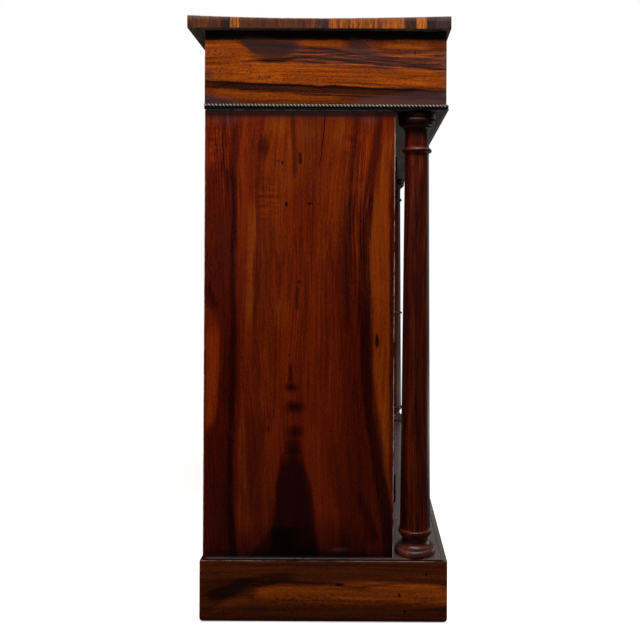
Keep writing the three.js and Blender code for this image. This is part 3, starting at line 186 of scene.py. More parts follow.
# The waver of a placed mark, and how far it goes in mm.
WAVER = Pattern(40, 40, 3.0, 0.6)
WAVER_REACH = 6.0
# Clouds and streaks take their sizes from the finish; veins are this much longer and wider.
CLOUD_DETAIL = (2.0, 0.45)
STREAK_DETAIL = (3.0, 0.62)
VEIN_LONGER = 2.6
VEIN_WIDER = 3.1
VEIN_HALF = 0.075
# Hair-fine lines with the grain, and crisp fine lines beside them.
FIBRE = Pattern(34, 0.9, 2.0, 0.6)
FINE_LINE = Pattern(150, 2.7, 2.0, 0.6, 0.34, 0.66)
# Short bright bars across the grain, and the patches where they show.
RIPPLE_BAR = Pattern(5.2, 26, 1.0, 0.5, 0.34, 0.68)
RIPPLE_PATCH = Pattern(130, 75, 1.0, 0.5, 0.44, 0.66)
MOTTLE = Pattern(5.0, 2.2, 1.0, 0.6)
# Short dark dashes of open pores, closer in some patches than in others.
PORE = Pattern(4.5, 0.42, 0.0, 0.5, 0.63, 0.72)
PORE_PATCH = Pattern(60, 24, 1.0)
PORE_CROWD = 0.07
# Dark eyes of burr, golden patches, and grey bloom on old polish; where a leaf lifts a shadow with the bloom's grey,
# it is painted light.
EYE = Pattern(4.6, 2.8, 2.0, 0.6, 0.54, 0.64)
GOLDEN_PATCH = Pattern(240, 26, 2.0, 0.55, 0.36, 0.7)
BLOOM = Pattern(60, 6, 3.0, 0.7)
BLOOM_AND_PAINTED_LIGHT_COLOUR = "563f3f"
# Where worn edges break off along their length, and the smears in the polish.
WORN = Pattern(26, 9, 3.0, 0.65, 0.33, 0.62)
SMEAR = Pattern(70, 45, 3.0, 0.6)
# How far eyes, cracks and joints across the board darken the tone.
EYE_TONE = -0.42
CRACK_TONE = -0.6
SEAM_TONE = -0.5
# Half the width of such a joint, in all and where it is darkest, in mm.
SEAM_EDGE = 1.1
SEAM_CORE = 0.3
# How much closer the fine lines stand where a leaf asks for it.
LINES_GAIN = 2.2
# How far streaks break up a mark, and how uneven the bloom is, with the least share of both.
MARK_BROKEN = (0.9, 0.55)
BLOOM_BROKEN = (1.6, 0.2)
# How far smears dull the polish, and how much rougher a worn edge is.
SMEAR_DULL = 0.07
WORN_ROUGHER = 0.2
# Relief of pores, fibres and cracks as shares of the grain's depth; depths of grain and polish in mm.
PORE_RELIEF = -0.7
FIBRE_RELIEF = 0.35
CRACK_RELIEF = -4.0
GRAIN_DEPTH = 0.06
POLISH_DEPTH = 0.12
# Tarnish on metal, and the width of its scratches in mm.
TARNISH = Pattern(7, 7, 4.0, 0.62, 0.38, 0.62)
SCRATCH_WIDTH = 0.12
# A streak that stops short fades over this share of its leaf, or of itself if that is less.
FADE = 0.06
FADE_SHARE = 1 / 5
# Share of a streak's soft edge that lies inside it.
SOFT_INSIDE = 0.2


class Bench:
    """Adds and wires the nodes of one material."""

    def __init__(self, name: str) -> None:
        """Starts an empty material.

        Args:
            name: the material's name.
        """
        self.material = bpy.data.materials.new(name)
        self.material.use_nodes = True
        self.tree = self.material.node_tree
        self.tree.nodes.clear()

    def add(self, kind: str, inputs: Optional[dict] = None, **settings: object) -> bpy.types.Node:
        """Adds one node.

        Args:
            kind: the node's type without its prefix.
            inputs: for each input, a value to set or a socket to wire.
            settings: the node's own options.

        Returns:
            The node.
        """
        made = self.tree.nodes.new("ShaderNode" + kind)
        for key, value in settings.items():
            setattr(made, key, value)
        for key, value in (inputs or {}).items():
            if isinstance(value, bpy.types.NodeSocket):
                self.tree.links.new(value, made.inputs[key])
            else:
                made.inputs[key].default_value = value
        return made

    def calc(self, operation: str, *values: Value, clamp: bool = False) -> Socket:
        """Returns the socket of one sum on numbers."""
        return self.add("Math", dict(enumerate(values)), operation=operation, use_clamp=clamp).outputs[0]

    def real(self) -> Socket:
        """Returns the real place on the object."""
        return self.add("TexCoord").outputs["Object"]

    def axes(self, place: Socket) -> Dict[str, Socket]:
        """Returns a place's three numbers, by the axes' names."""
        made = self.add("SeparateXYZ", {"Vector": place})
        return {axis: made.outputs[axis] for axis in "XYZ"}

    def arris(self) -> Socket:
        """Returns 1 where the mesh is marked as worn and 0 elsewhere."""
        return self.add("Attribute", attribute_name=ARRIS, attribute_type="GEOMETRY").outputs["Fac"]

    def place(self, grain: Grain, shift: Sequence[float] = (0.0, 0.0, 0.0)) -> Socket:
        """Makes the real place on the object, turned so that the grain runs along the first axis.

        Args:
            grain: how the board's grain runs.
            shift: how far the place is moved, in mm.

        Returns:
            The place in metres.
        """
        moved = [s * MM for s in shift]
        inputs = {"Vector": self.real(), "Rotation": grain.value, "Location": moved}
        return self.add("Mapping", inputs).outputs[0]

    def drift(self, place: Socket, pattern: Pattern, reach: Sequence[float]) -> Socket:
        """Moves the place aside by a random pattern.

        Args:
            place: where to read.
            pattern: the pattern.
            reach: the swing along each axis, in mm.

        Returns:
            The moved place.
        """
        aside = self.noise(place, pattern).outputs["Color"]
        aside = self.add("VectorMath", {0: aside, 1: (0.5, 0.5, 0.5)}, operation="SUBTRACT").outputs[0]
        aside = self.add("VectorMath", {0: aside, 1: [r * MM for r in reach]}, operation="MULTIPLY").outputs[0]
        return self.add("VectorMath", {0: place, 1: aside}, operation="ADD").outputs[0]

    def noise(self, place: Socket, pattern: Pattern) -> bpy.types.Node:
        """Adds a random pattern.

        Args:
            place: where to read.
            pattern: its spots.

        Returns:
            The pattern's node.
        """
        steps = (1 / (pattern.along * MM), 1 / (pattern.across * MM), 1 / (pattern.across * MM))
        inputs = {
            "Vector": self.add("Mapping", {"Vector": place, "Scale": steps}).outputs[0], "Scale": 1.0,
            "Detail": pattern.detail, "Roughness": pattern.rough,
        }
        return self.add("TexNoise", inputs)

    def tone(self, place: Socket, pattern: Pattern) -> Socket:
        """Returns the value of a random pattern, from 0 to 1 and mostly near a half."""
        return self.noise(place, pattern).outputs[0]

    def spots(self, place: Socket, pattern: Pattern) -> Socket:
        """Returns 1 in the spots of a random pattern and 0 between them."""
        return self.smooth(self.tone(place, pattern), pattern.low, pattern.high)

    def smooth(self, value: Value, low: float, high: float) -> Socket:
        """Returns 0 at low and 1 at high with a soft start and end; low may be above high."""
        inputs = {"Value": value, "From Min": low, "From Max": high}
        return self.add("MapRange", inputs, interpolation_type="SMOOTHSTEP").outputs[0]

    def share(self, value: Value, low: float, high: float) -> Socket:
        """Returns how far a value has come from low to high."""
        return self.add("MapRange", {"Value": value, "From Min": low, "From Max": high}).outputs[0]

    def centred(self, value: Value, strength: float) -> Socket:
        """Returns a pattern from 0 to 1 as a shift of tone about zero."""
        return self.calc("MULTIPLY_ADD", value, 2 * strength, -strength)

    def total(self, first: Value, *others: Value) -> Value:
        """Returns the sum of several sockets."""
        for other in others:
            first = self.calc("ADD", first, other)
        return first

    def curve(self, value: Value, points: Sequence[Point]) -> Socket:
        """Leads a value through a smooth line of points.

        Args:
            value: from 0 to 1.
            points: values and what they become.

        Returns:
            The new value.
        """
        made = self.add("FloatCurve", {"Value": value})
        line = made.mapping.curves[0]
        line.points[0].location = points[0]
        line.points[1].location = points[-1]
        for point in points[1:-1]:
            line.points.new(*point)
        made.mapping.update()
        return made.outputs[0]

    def ramp(self, value: Value, stops: Sequence[Tint]) -> Socket:
        """Lays colours along a value.

        Args:
            value: from 0 to 1.
            stops: places on it and their colours.

        Returns:
            The colour.
        """
        made = self.add("ValToRGB", {"Fac": value})
        ramp = made.color_ramp
        ramp.interpolation = "LINEAR"
        ramp.elements[0].position, ramp.elements[0].color = stops[0][0], linear(stops[0][1])
        ramp.elements[1].position, ramp.elements[1].color = stops[-1][0], linear(stops[-1][1])
        for position, colour in stops[1:-1]:
            ramp.elements.new(position).color = linear(colour)
        return made.outputs[0]

    def mix(self, share: Value, first: object, second: object) -> Socket:
        """Returns a mix of two colours."""
        return self.add("Mix", {0: share, 6: first, 7: second}, data_type="RGBA", blend_type="MIX").outputs[2]

    def tint(self, colour: Socket, where: Socket, tint: Tint) -> Socket:
        """Returns a colour tinted where a pattern shows."""
        return self.mix(self.calc("MULTIPLY", where, tint[0]), colour, linear(tint[1]))

    def bump(self, height: Value, depth: float, normal: Optional[Socket] = None) -> Socket:
        """Shows a height pattern in the surface.

        Args:
            height: from 0 to 1.
            depth: its depth in mm.
            normal: the normal to start from.

        Returns:
            The normal.
        """
        inputs = {"Height": height, "Distance": depth * MM, "Strength": 1.0}
        if normal is not None:
            inputs["Normal"] = normal
        return self.add("Bump", inputs).outputs[0]

    def principled(self, inputs: dict) -> Material:
        """Wires a surface with these inputs to the output and returns the material."""
        return self.finish(self.add("BsdfPrincipled", inputs).outputs[0])

    def finish(self, shader: Socket) -> Material:
        """Wires the last shader to the output and returns the material."""
        self.add("OutputMaterial", {"Surface": shader})
        return self.material


@dataclass(frozen=True)
class Streak:
    """A line of figure, or a band of painted shade, that runs along the grain of one leaf of veneer.

    Args:
        path: places along the grain, across it, and the half width there, in mm.
        soft: width of its faded edge in mm.
        strength: how far it moves what it changes, negative for darker, redder or less.
        effect: what it changes.
    """

    path: Tuple[Place, ...]
    soft: float
    strength: float
    effect: Effect = Effect.TONE


@dataclass(frozen=True)
class Knot:
    """A rounded mark in a leaf of veneer: a knot, a burr, a cloud of colour, or a patch of painted shade or light.

    Args:
        along: its middle along the grain in mm.
        across: its middle across the grain in mm.
        half_along: half its length in mm.
        half_across: half its width in mm.
        strength: how far it moves what it changes, negative for darker, redder or less.
        soft: share of its radius that fades.
        effect: what it changes.
    """

    along: float
    across: float
    half_along: float
    half_across: float
    strength: float
    soft: float = 0.7
    effect: Effect = Effect.TONE


@dataclass(frozen=True)
class Leaf:
    """The figure placed on one leaf of veneer, over the figure that its wood has anyway.

    The leaf's own extent is in mm, along the grain and across it.
    """

    along: Point
    across: Point
    along_axis: str
    across_axis: str
    streaks: Tuple[Streak, ...] = ()
    knots: Tuple[Knot, ...] = ()
    cracks: Tuple[Streak, ...] = ()

    def marks(self, bench: Bench) -> Tuple[Marks, Value]:
        """Lays every mark.

        Args:
            bench: the material's bench.

        Returns:
            How far each effect is moved, and the depth of the cracks from 0 to 1.
        """
        place = bench.drift(bench.real(), WAVER, (WAVER_REACH, WAVER_REACH, WAVER_REACH))
        axes = bench.axes(place)
        along = bench.share(axes[self.along_axis], self.along[0] * MM, self.along[1] * MM)
        across = axes[self.across_axis]
        moved: Marks = {effect: 0.0 for effect in Effect}
        for streak in self.streaks:
            inside = self.on_streak(bench, along, across, streak)
            moved[streak.effect] = bench.calc("MULTIPLY_ADD", inside, streak.strength, moved[streak.effect])
        for knot in self.knots:
            inside = self.on_knot(bench, place, knot)
            moved[knot.effect] = bench.calc("MULTIPLY_ADD", inside, knot.strength, moved[knot.effect])
        crack: Value = 0.0
        for streak in self.cracks:
            crack = bench.calc("MAXIMUM", self.on_streak(bench, along, across, streak), crack)
        return moved, crack

    def on_streak(self, bench: Bench, along: Socket, across: Socket, streak: Streak) -> Socket:
        """Draws one streak.

        Args:
            bench: the material's bench.
            along: how far the place is along the leaf, from 0 to 1.
            across: where it is across the leaf, in metres.
            streak: the streak.

        Returns:
            1 on the streak and 0 beside it.
        """
        low, high = self.along
        left, right = self.across
        steps = sorted(((a - low) / (high - low), (c - left) / (right - left), h) for a, c, h in streak.path)
        centre = bench.curve(along, [(a, c) for a, c, _ in steps])
        centre = bench.calc("MULTIPLY_ADD", centre, (right - left) * MM, left * MM)
        widest = max(h for _, _, h in steps)
        half = bench.curve(along, [(a, h / widest) for a, _, h in steps])
        away = bench.calc("ABSOLUTE", bench.calc("SUBTRACT", across, centre))
        away = bench.calc("MULTIPLY_ADD", half, -widest * MM, away)
        inside = bench.smooth(away, streak.soft * MM, -streak.soft * MM * SOFT_INSIDE)
        first, last = steps[0][0], steps[-1][0]
        fade = min(FADE, (last - first) * FADE_SHARE)
        if first > 0:
            inside = bench.calc("MULTIPLY", inside, bench.smooth(along, first, first + fade))
        if last < 1:
            inside = bench.calc("MULTIPLY", inside, bench.smooth(along, last, last - fade))
        return inside

    def on_knot(self, bench: Bench, place: Socket, knot: Knot) -> Socket:
        """Draws one knot.

        Args:
            bench: the material's bench.
            place: the place on the object.
            knot: the knot.

        Returns:
            1 on the knot and 0 round it.
        """
        sizes = {self.along_axis: knot.half_along * MM, self.across_axis: knot.half_across * MM}
        middle = {self.along_axis: knot.along * MM, self.across_axis: knot.across * MM}
        scale = [1 / sizes[a] if a in sizes else 0.0 for a in "XYZ"]
        shift = [-middle[a] / sizes[a] if a in sizes else 0.0 for a in "XYZ"]
        local = bench.add("Mapping", {"Vector": place, "Scale": scale, "Location": shift}).outputs[0]
        radius = bench.add("VectorMath", {0: local}, operation="LENGTH").outputs["Value"]
        return bench.smooth(radius, 1.0, 1.0 - knot.soft)


@dataclass(frozen=True)
class WoodFinish:
    """One wood with the way its surface was finished.

    Args:
        name: the material's name.
        slot: the slot of the record that it stands for; not used.
        grain: the way the grain runs.
        tones: colours from the darkest vein to the lightest wood.
        golden: the same for the patches that have gone golden, or nothing.
        gild: how far such patches show by themselves.
        middle: the tone of the plain ground, 0 to 1.
        cloud: strength of the broad clouds of colour.
        streak: strength of the narrow streaks.
        line: strength of the crisp fine lines beside them.
        vein: strength of the thin dark veins.
        fibre: strength of the finest lines.
        pores: strength of the open pores.
        ripple: strength of the bright ripple across the grain.
        mottle: strength of the finest uneven grain, the same in every direction.
        cloud_size: length and width of a cloud in mm.
        streak_size: length and width of a streak in mm.
        roughness: roughness of the surface under the polish.
        shine: how much that surface mirrors, 0.5 for bare wood.
        coat: weight of the polish.
        coat_roughness: roughness of the polish.
        worn: colour of the wood where an edge has worn.
        wear: how far the worn edges show.
        even: the least share of that wear anywhere along an edge.
        shift: where in the log the board was cut, in mm, so that no two match.
        leaf: the placed figure.
        seams: places along the front of joints across the board, in mm.
    """

    name: str
    slot: str
    grain: Grain
    tones: Tuple[str, ...]
    golden: Tuple[str, ...] = ()
    gild: float = 0.8
    middle: float = 0.5
    cloud: float = 0.5
    streak: float = 0.35
    line: float = 0.05
    vein: float = 0.4
    fibre: float = 0.16
    pores: float = 0.3
    ripple: float = 0.1
    mottle: float = 0.05
    cloud_size: Point = (420.0, 48.0)
    streak_size: Point = (190.0, 7.0)
    roughness: float = 0.42
    shine: float = 0.03
    coat: float = 0.8
    coat_roughness: float = 0.12
    worn: str = "a9714c"
    wear: float = 0.6
    even: float = 0.0
    shift: Place = (0.0, 0.0, 0.0)
    leaf: Optional[Leaf] = None
    seams: Tuple[float, ...] = ()

    def material(self) -> Material:
        """Makes the material: clouds, streaks, veins, ripple, pores and worn edges under a polish.

        Returns:
            The material.
        """
        bench = Bench(self.name)
        place = bench.place(self.grain, self.shift)
        log = bench.drift(place, WANDER, (0.0, WANDER_REACH, WANDER_REACH))
        marks: Marks = {effect: 0.0 for effect in Effect}
        crack: Value = 0.0
        if self.leaf is not None:
            marks, crack = self.leaf.marks(bench)
        fibres = bench.tone(log, FIBRE)
        crowd = bench.centred(bench.tone(place, PORE_PATCH), PORE_CROWD)
        pores = bench.smooth(bench.calc("ADD", bench.tone(log, PORE), crowd), PORE.low, PORE.high)
        tone = self.tone(bench, place, log, marks, (crack, fibres, pores))
        colour = self.colour(bench, log, tone, marks)
        # Worn edges are paler and drier, and broken up along their length; on the rope's crests this pale wear also
        # paints glints.
        edge = bench.calc("MULTIPLY", bench.arris(), bench.calc("MAXIMUM", bench.spots(place, WORN), self.even))
        edge = bench.calc("MULTIPLY", edge, self.wear)
        colour = bench.mix(edge, colour, linear(self.worn))
        # The polish lies in slow waves and is a little dull where hands and cloths have been.
        smear = bench.tone(place, SMEAR)
        dull = bench.centred(smear, SMEAR_DULL)
        waves = bench.bump(smear, POLISH_DEPTH)
        relief = bench.total(bench.calc("MULTIPLY", pores, PORE_RELIEF), bench.calc("MULTIPLY", fibres, FIBRE_RELIEF))
        if self.leaf is not None:
            relief = bench.calc("MULTIPLY_ADD", crack, CRACK_RELIEF, relief)
        return bench.principled(
            {
                "Base Color": colour,
                "Roughness": bench.calc("ADD", dull, bench.calc("MULTIPLY_ADD", edge, WORN_ROUGHER, self.roughness)),
                "IOR": 1.5, "Specular IOR Level": self.shine, "Normal": bench.bump(relief, GRAIN_DEPTH, waves),
                "Coat Weight": bench.calc("MULTIPLY_ADD", edge, -self.coat, self.coat, clamp=True),
                "Coat Roughness": bench.calc("ADD", dull, self.coat_roughness, clamp=True), "Coat IOR": 1.52,
                "Coat Normal": waves,
            }
        )

    def tone(
        self, bench: Bench, place: Socket, log: Socket, marks: Marks, fine: Tuple[Value, ...]
    ) -> Socket:
        """Adds up the wood's own figure and the placed figure.

        Args:
            bench: the material's bench.
            place: the place with the grain along the first axis.
            log: the same place, with the wander of the grain.
            marks: how far the leaf moves each effect.
            fine: the cracks, the fibres and the pores.

        Returns:
            The tone from 0 for the darkest vein to 1 for the lightest wood.
        """
        crack, fibres, pores = fine
        streaks = bench.tone(log, Pattern(*self.streak_size, *STREAK_DETAIL))
        veins = bench.tone(log, Pattern(self.streak_size[0] * VEIN_LONGER, self.streak_size[1] * VEIN_WIDER, 1.0))
        ridge = bench.calc("ABSOLUTE", bench.calc("MULTIPLY_ADD", veins, 2.0, -1.0))
        # Crisp fine lines run with the grain, closer together where the leaf asks for them.
        lines = bench.total(bench.centred(bench.spots(log, FINE_LINE), self.line), bench.centred(fibres, self.fibre))
        lines = bench.calc("MULTIPLY", lines, bench.calc("MULTIPLY_ADD", marks[LINES], LINES_GAIN, 1.0))
        # Ripple shows in patches as short bright bars across the grain.
        patches = marks[RIPPLE] if self.leaf is not None else bench.spots(place, RIPPLE_PATCH)
        bars = bench.calc("MULTIPLY", bench.centred(bench.spots(place, RIPPLE_BAR), self.ripple), patches)
        tone = bench.total(
            bench.centred(bench.tone(log, Pattern(*self.cloud_size, *CLOUD_DETAIL)), self.cloud),
            bench.centred(streaks, self.streak),
            bench.calc("MULTIPLY", bench.smooth(ridge, VEIN_HALF, 0.0), -self.vein), lines, bars,
            bench.centred(bench.tone(place, MOTTLE), self.mottle), bench.calc("MULTIPLY", pores, -self.pores),
        )
        if self.leaf is not None:
            # The placed figure is broken up by the fine streaks, so that it is nowhere flat.
            broken = bench.calc("MULTIPLY_ADD", streaks, *MARK_BROKEN)
            placed = bench.calc("MULTIPLY", marks[Effect.TONE], broken)
            eyes = bench.calc("MULTIPLY", bench.spots(place, EYE), marks[EYES])
            cracked = bench.calc("MULTIPLY", crack, CRACK_TONE)
            tone = bench.total(tone, placed, cracked, bench.calc("MULTIPLY", eyes, EYE_TONE))
        # Old butt joints show as thin dark lines across the board.
        for seam in self.seams:
            away = bench.calc("ABSOLUTE", bench.calc("SUBTRACT", bench.axes(bench.real())["X"], seam * MM))
            tone = bench.calc("MULTIPLY_ADD", bench.smooth(away, SEAM_EDGE * MM, SEAM_CORE * MM), SEAM_TONE, tone)
        return bench.calc("ADD", tone, self.middle, clamp=True)

    def colour(self, bench: Bench, log: Socket, tone: Socket, marks: Marks) -> Socket:
        """Turns the tone into colour: red or golden wood, with a grey bloom where the leaf has it, in places painted
        light.

        Args:
            bench: the material's bench.
            log: the place with the wander of the grain.
            tone: the tone from 0 to 1.
            marks: how far the leaf moves each effect.

        Returns:
            The colour.
        """
        last = len(self.tones) - 1
        colour = bench.ramp(tone, [(i / last, c) for i, c in enumerate(self.tones)])
        if self.golden:
            golden = bench.ramp(tone, [(i / last, c) for i, c in enumerate(self.golden)])
            share = bench.spots(log, GOLDEN_PATCH)
            share = bench.calc("MULTIPLY_ADD", share, self.gild, marks[GOLD], clamp=True)
            colour = bench.mix(share, colour, golden)
        if self.leaf is not None:
            # Old polish has bloomed: a grey veil along some edges, a little uneven; where a leaf puts the veil in a
            # shadow, it is painted light.
            veil = bench.calc("MULTIPLY_ADD", bench.tone(log, BLOOM), *BLOOM_BROKEN)
            veil = bench.calc("MULTIPLY", marks[HAZE], veil, clamp=True)
            colour = bench.mix(veil, colour, linear(BLOOM_AND_PAINTED_LIGHT_COLOUR))
        return colour


@dataclass(frozen=True)
class MetalFinish:
    """One metal with the way its surface was finished and has aged.

    Bright and dull are the rubbed and the tarnished metal; scratch is a scratch's length in mm.
    """

    name: str
    slot: str
    bright: str
    dull: str
    roughness: float = 0.25
    dull_roughness: float = 0.5
    scratch: float = 6.0

    def material(self) -> Material:
        """Makes the material, with bright rubbed parts and edges, tarnish and scratches.

        Returns:
            The material.
        """
        bench = Bench(self.name)
        place = bench.place(Grain.UPRIGHT)
        rubbed = bench.calc("MULTIPLY_ADD", bench.arris(), -0.8, 1.0)
        tarnish = bench.calc("MULTIPLY", bench.spots(place, TARNISH), rubbed)
        scratches = bench.tone(place, Pattern(self.scratch, SCRATCH_WIDTH, 1.0))
        spread = self.dull_roughness - self.roughness
        roughness = bench.calc("MULTIPLY_ADD", tarnish, spread, self.roughness)
        relief = bench.total(scratches, bench.calc("MULTIPLY", tarnish, -2.0))
        return bench.principled(
            {
                "Base Color": bench.mix(tarnish, linear(self.bright), linear(self.dull)), "Metallic": 1.0,
                "Roughness": bench.total(roughness, bench.centred(scratches, 0.08)),
                "Normal": bench.bump(relief, 0.01),
            }
        )


class EdgeTone(Enum):
    """The tones of the short pieces that the top's edge is banded with."""

    DARK = "2c1114"
    BROWN = "5c2b12"
    GOLD = "a45208"
    RUSSET = "c86e14"
    GREY = "3a272b"
    BLACK = "1d0f12"


@dataclass(frozen=True)
class Crossbanding:
    """The short pieces of veneer laid upright round the top's edge, each with its own tone.

    Each piece of the ends stops at a place along the depth, from low on. Ends is the distance from
    the middle where these pieces begin to show, and show alone. Dusty is the height where dust and
    a painted highlight begin to grey the band, and are thickest. All these are in mm. A joint is a
    share of the depth, mingle is how far the figure shows through a piece's own tone, and a tint is
    a share and a colour.
    """

    name: str = "Crossbanded rosewood edge, french polished"
    slot: str = "top_veneer"
    low: float = -191.0
    leaves: Tuple[Tuple[float, EdgeTone], ...] = (
        (-165.9, EdgeTone.GREY), (-150.9, EdgeTone.BLACK), (-136.6, EdgeTone.RUSSET), (-117.8, EdgeTone.DARK),
        (-5.0, EdgeTone.GOLD), (13.0, EdgeTone.GREY), (131.9, EdgeTone.BROWN), (144.0, EdgeTone.RUSSET),
        (157.5, EdgeTone.BLACK), (208.0, EdgeTone.BROWN),
    )
    joint: float = 0.004
    shades: Tuple[Tint, ...] = ((0.0, "1e0c06"), (0.4, "43200d"), (0.7, "743a10"), (1.0, "a65f18"))
    ends: Point = (485.0, 497.0)
    line: Pattern = Pattern(26, 2.0, 3.0, 0.65, 0.56, 0.42)
    speck: Pattern = Pattern(7, 1.7, 2.0, 0.6, 0.3, 0.6)
    broad: Pattern = Pattern(400, 15, 2.0, 0.6)
    shadow: Pattern = Pattern(300, 7, 2.0, 0.6, 0.56, 0.36)
    worn_edge: Pattern = Pattern(12, 24, 3.0, 0.65, 0.28, 0.52)
    dusty: Point = (905.0, 913.0)
    mingle: float = 0.36
    shadow_tint: Tint = (0.55, "2a1511")
    streak_tint: Tint = (0.62, "160706")
    dust_and_highlight_tint: Tint = (0.3, "8d7c74")
    worn_and_highlight_tint: Tint = (0.8, "a08f86")

    def material(self) -> Material:
        """Makes the material, with upright streaks that change from piece to piece.

        Returns:
            The material.
        """
        bench = Bench(self.name)
        place = bench.place(Grain.UPRIGHT)
        axes = bench.axes(bench.real())
        lines = bench.tone(place, self.line)
        specks = bench.tone(place, self.speck)
        ends = self.end_pieces(bench, axes["Y"], lines)
        # Within one piece the figure still runs from dark to light in soft upright bands.
        broad = bench.tone(place, self.broad)
        shades = bench.total(bench.centred(broad, 0.9), bench.centred(lines, 0.5), bench.centred(specks, 0.5), 0.45)
        front = bench.ramp(shades, self.shades)
        ends = bench.mix(bench.calc("MULTIPLY", specks, self.mingle), ends, front)
        ends = bench.tint(ends, bench.spots(place, self.shadow), self.shadow_tint)
        on_end = bench.smooth(bench.calc("ABSOLUTE", axes["X"]), self.ends[0] * MM, self.ends[1] * MM)
        colour = bench.mix(on_end, front, ends)
        colour = bench.tint(colour, bench.smooth(lines, self.line.low, self.line.high), self.streak_tint)
        # Dust and old wax have greyed the band towards its upper arris, and a painted highlight pales it there too.
        upper = bench.smooth(axes["Z"], self.dusty[0] * MM, self.dusty[1] * MM)
        upper = bench.calc("MULTIPLY", upper, bench.smooth(specks, self.speck.low, self.speck.high))
        colour = bench.tint(colour, upper, self.dust_and_highlight_tint)
        # The upper arris is paled where worn, and also as a painted highlight along it.
        edge = bench.calc("MULTIPLY", bench.arris(), bench.spots(place, self.worn_edge))
        return bench.principled(
            {
                "Base Color": bench.tint(colour, edge, self.worn_and_highlight_tint),
                "Roughness": bench.calc("MULTIPLY_ADD", edge, 0.25, 0.4), "Specular IOR Level": 0.15,
                "Coat Weight": bench.calc("MULTIPLY_ADD", edge, -0.6, 0.75), "Coat Roughness": 0.18,
                "Normal": bench.bump(lines, 0.05),
            }
        )

    def end_pieces(self, bench: Bench, depth: Socket, lines: Socket) -> Socket:
        """Lays the short pieces of the ends one after another, with joints that waver a little.

        Args:
            bench: the material's bench.
            depth: the place along the depth, in metres.
            lines: the streaks that make the joints waver.

        Returns:
            Each piece's own colour.
        """
        high = self.leaves[-1][0]
        run = bench.calc("MULTIPLY_ADD", lines, 3 * MM, depth)
        run = bench.share(run, self.low * MM, high * MM)
        stops = []
        begin = 0.0
        for stop, tone in self.leaves:
            finish = (stop - self.low) / (high - self.low)
            stops += [(begin + self.joint, tone.value), (finish - self.joint, tone.value)]
            begin = finish
        return bench.ramp(run, stops)


Finish = Union[WoodFinish, MetalFinish, Crossbanding]


# The colours that each wood runs through, from its darkest vein to its lightest ground.
ROSEWOOD = ("0c0201", "280503", "4e1102", "762403", "9c420a", "c87428")
BROWN_ROSEWOOD = ("100502", "290d05", "4e1e06", "763205", "a45214", "ca8630")
GOLDEN_ROSEWOOD = ("120602", "2c0f04", "562105", "863a05", "b25c0b", "d8923a")
DARK_ROSEWOOD = ("080202", "170402", "2c0802", "461003", "6a2207", "8a3812")
MAHOGANY = ("2c120a", "4b2213", "6a351d", "87502f", "9c6740", "b07d52")
PINE = ("4d3420", "745335", "94704a", "ad895e", "bf9d70", "cfb085")
EBONY = ("050403", "0a0706", "120c0a", "1c1310", "2a1d18", "3c2b23")
DUSTY = ("2a2522", "453c35", "615449", "7a6b5d", "93826f", "ab9984")

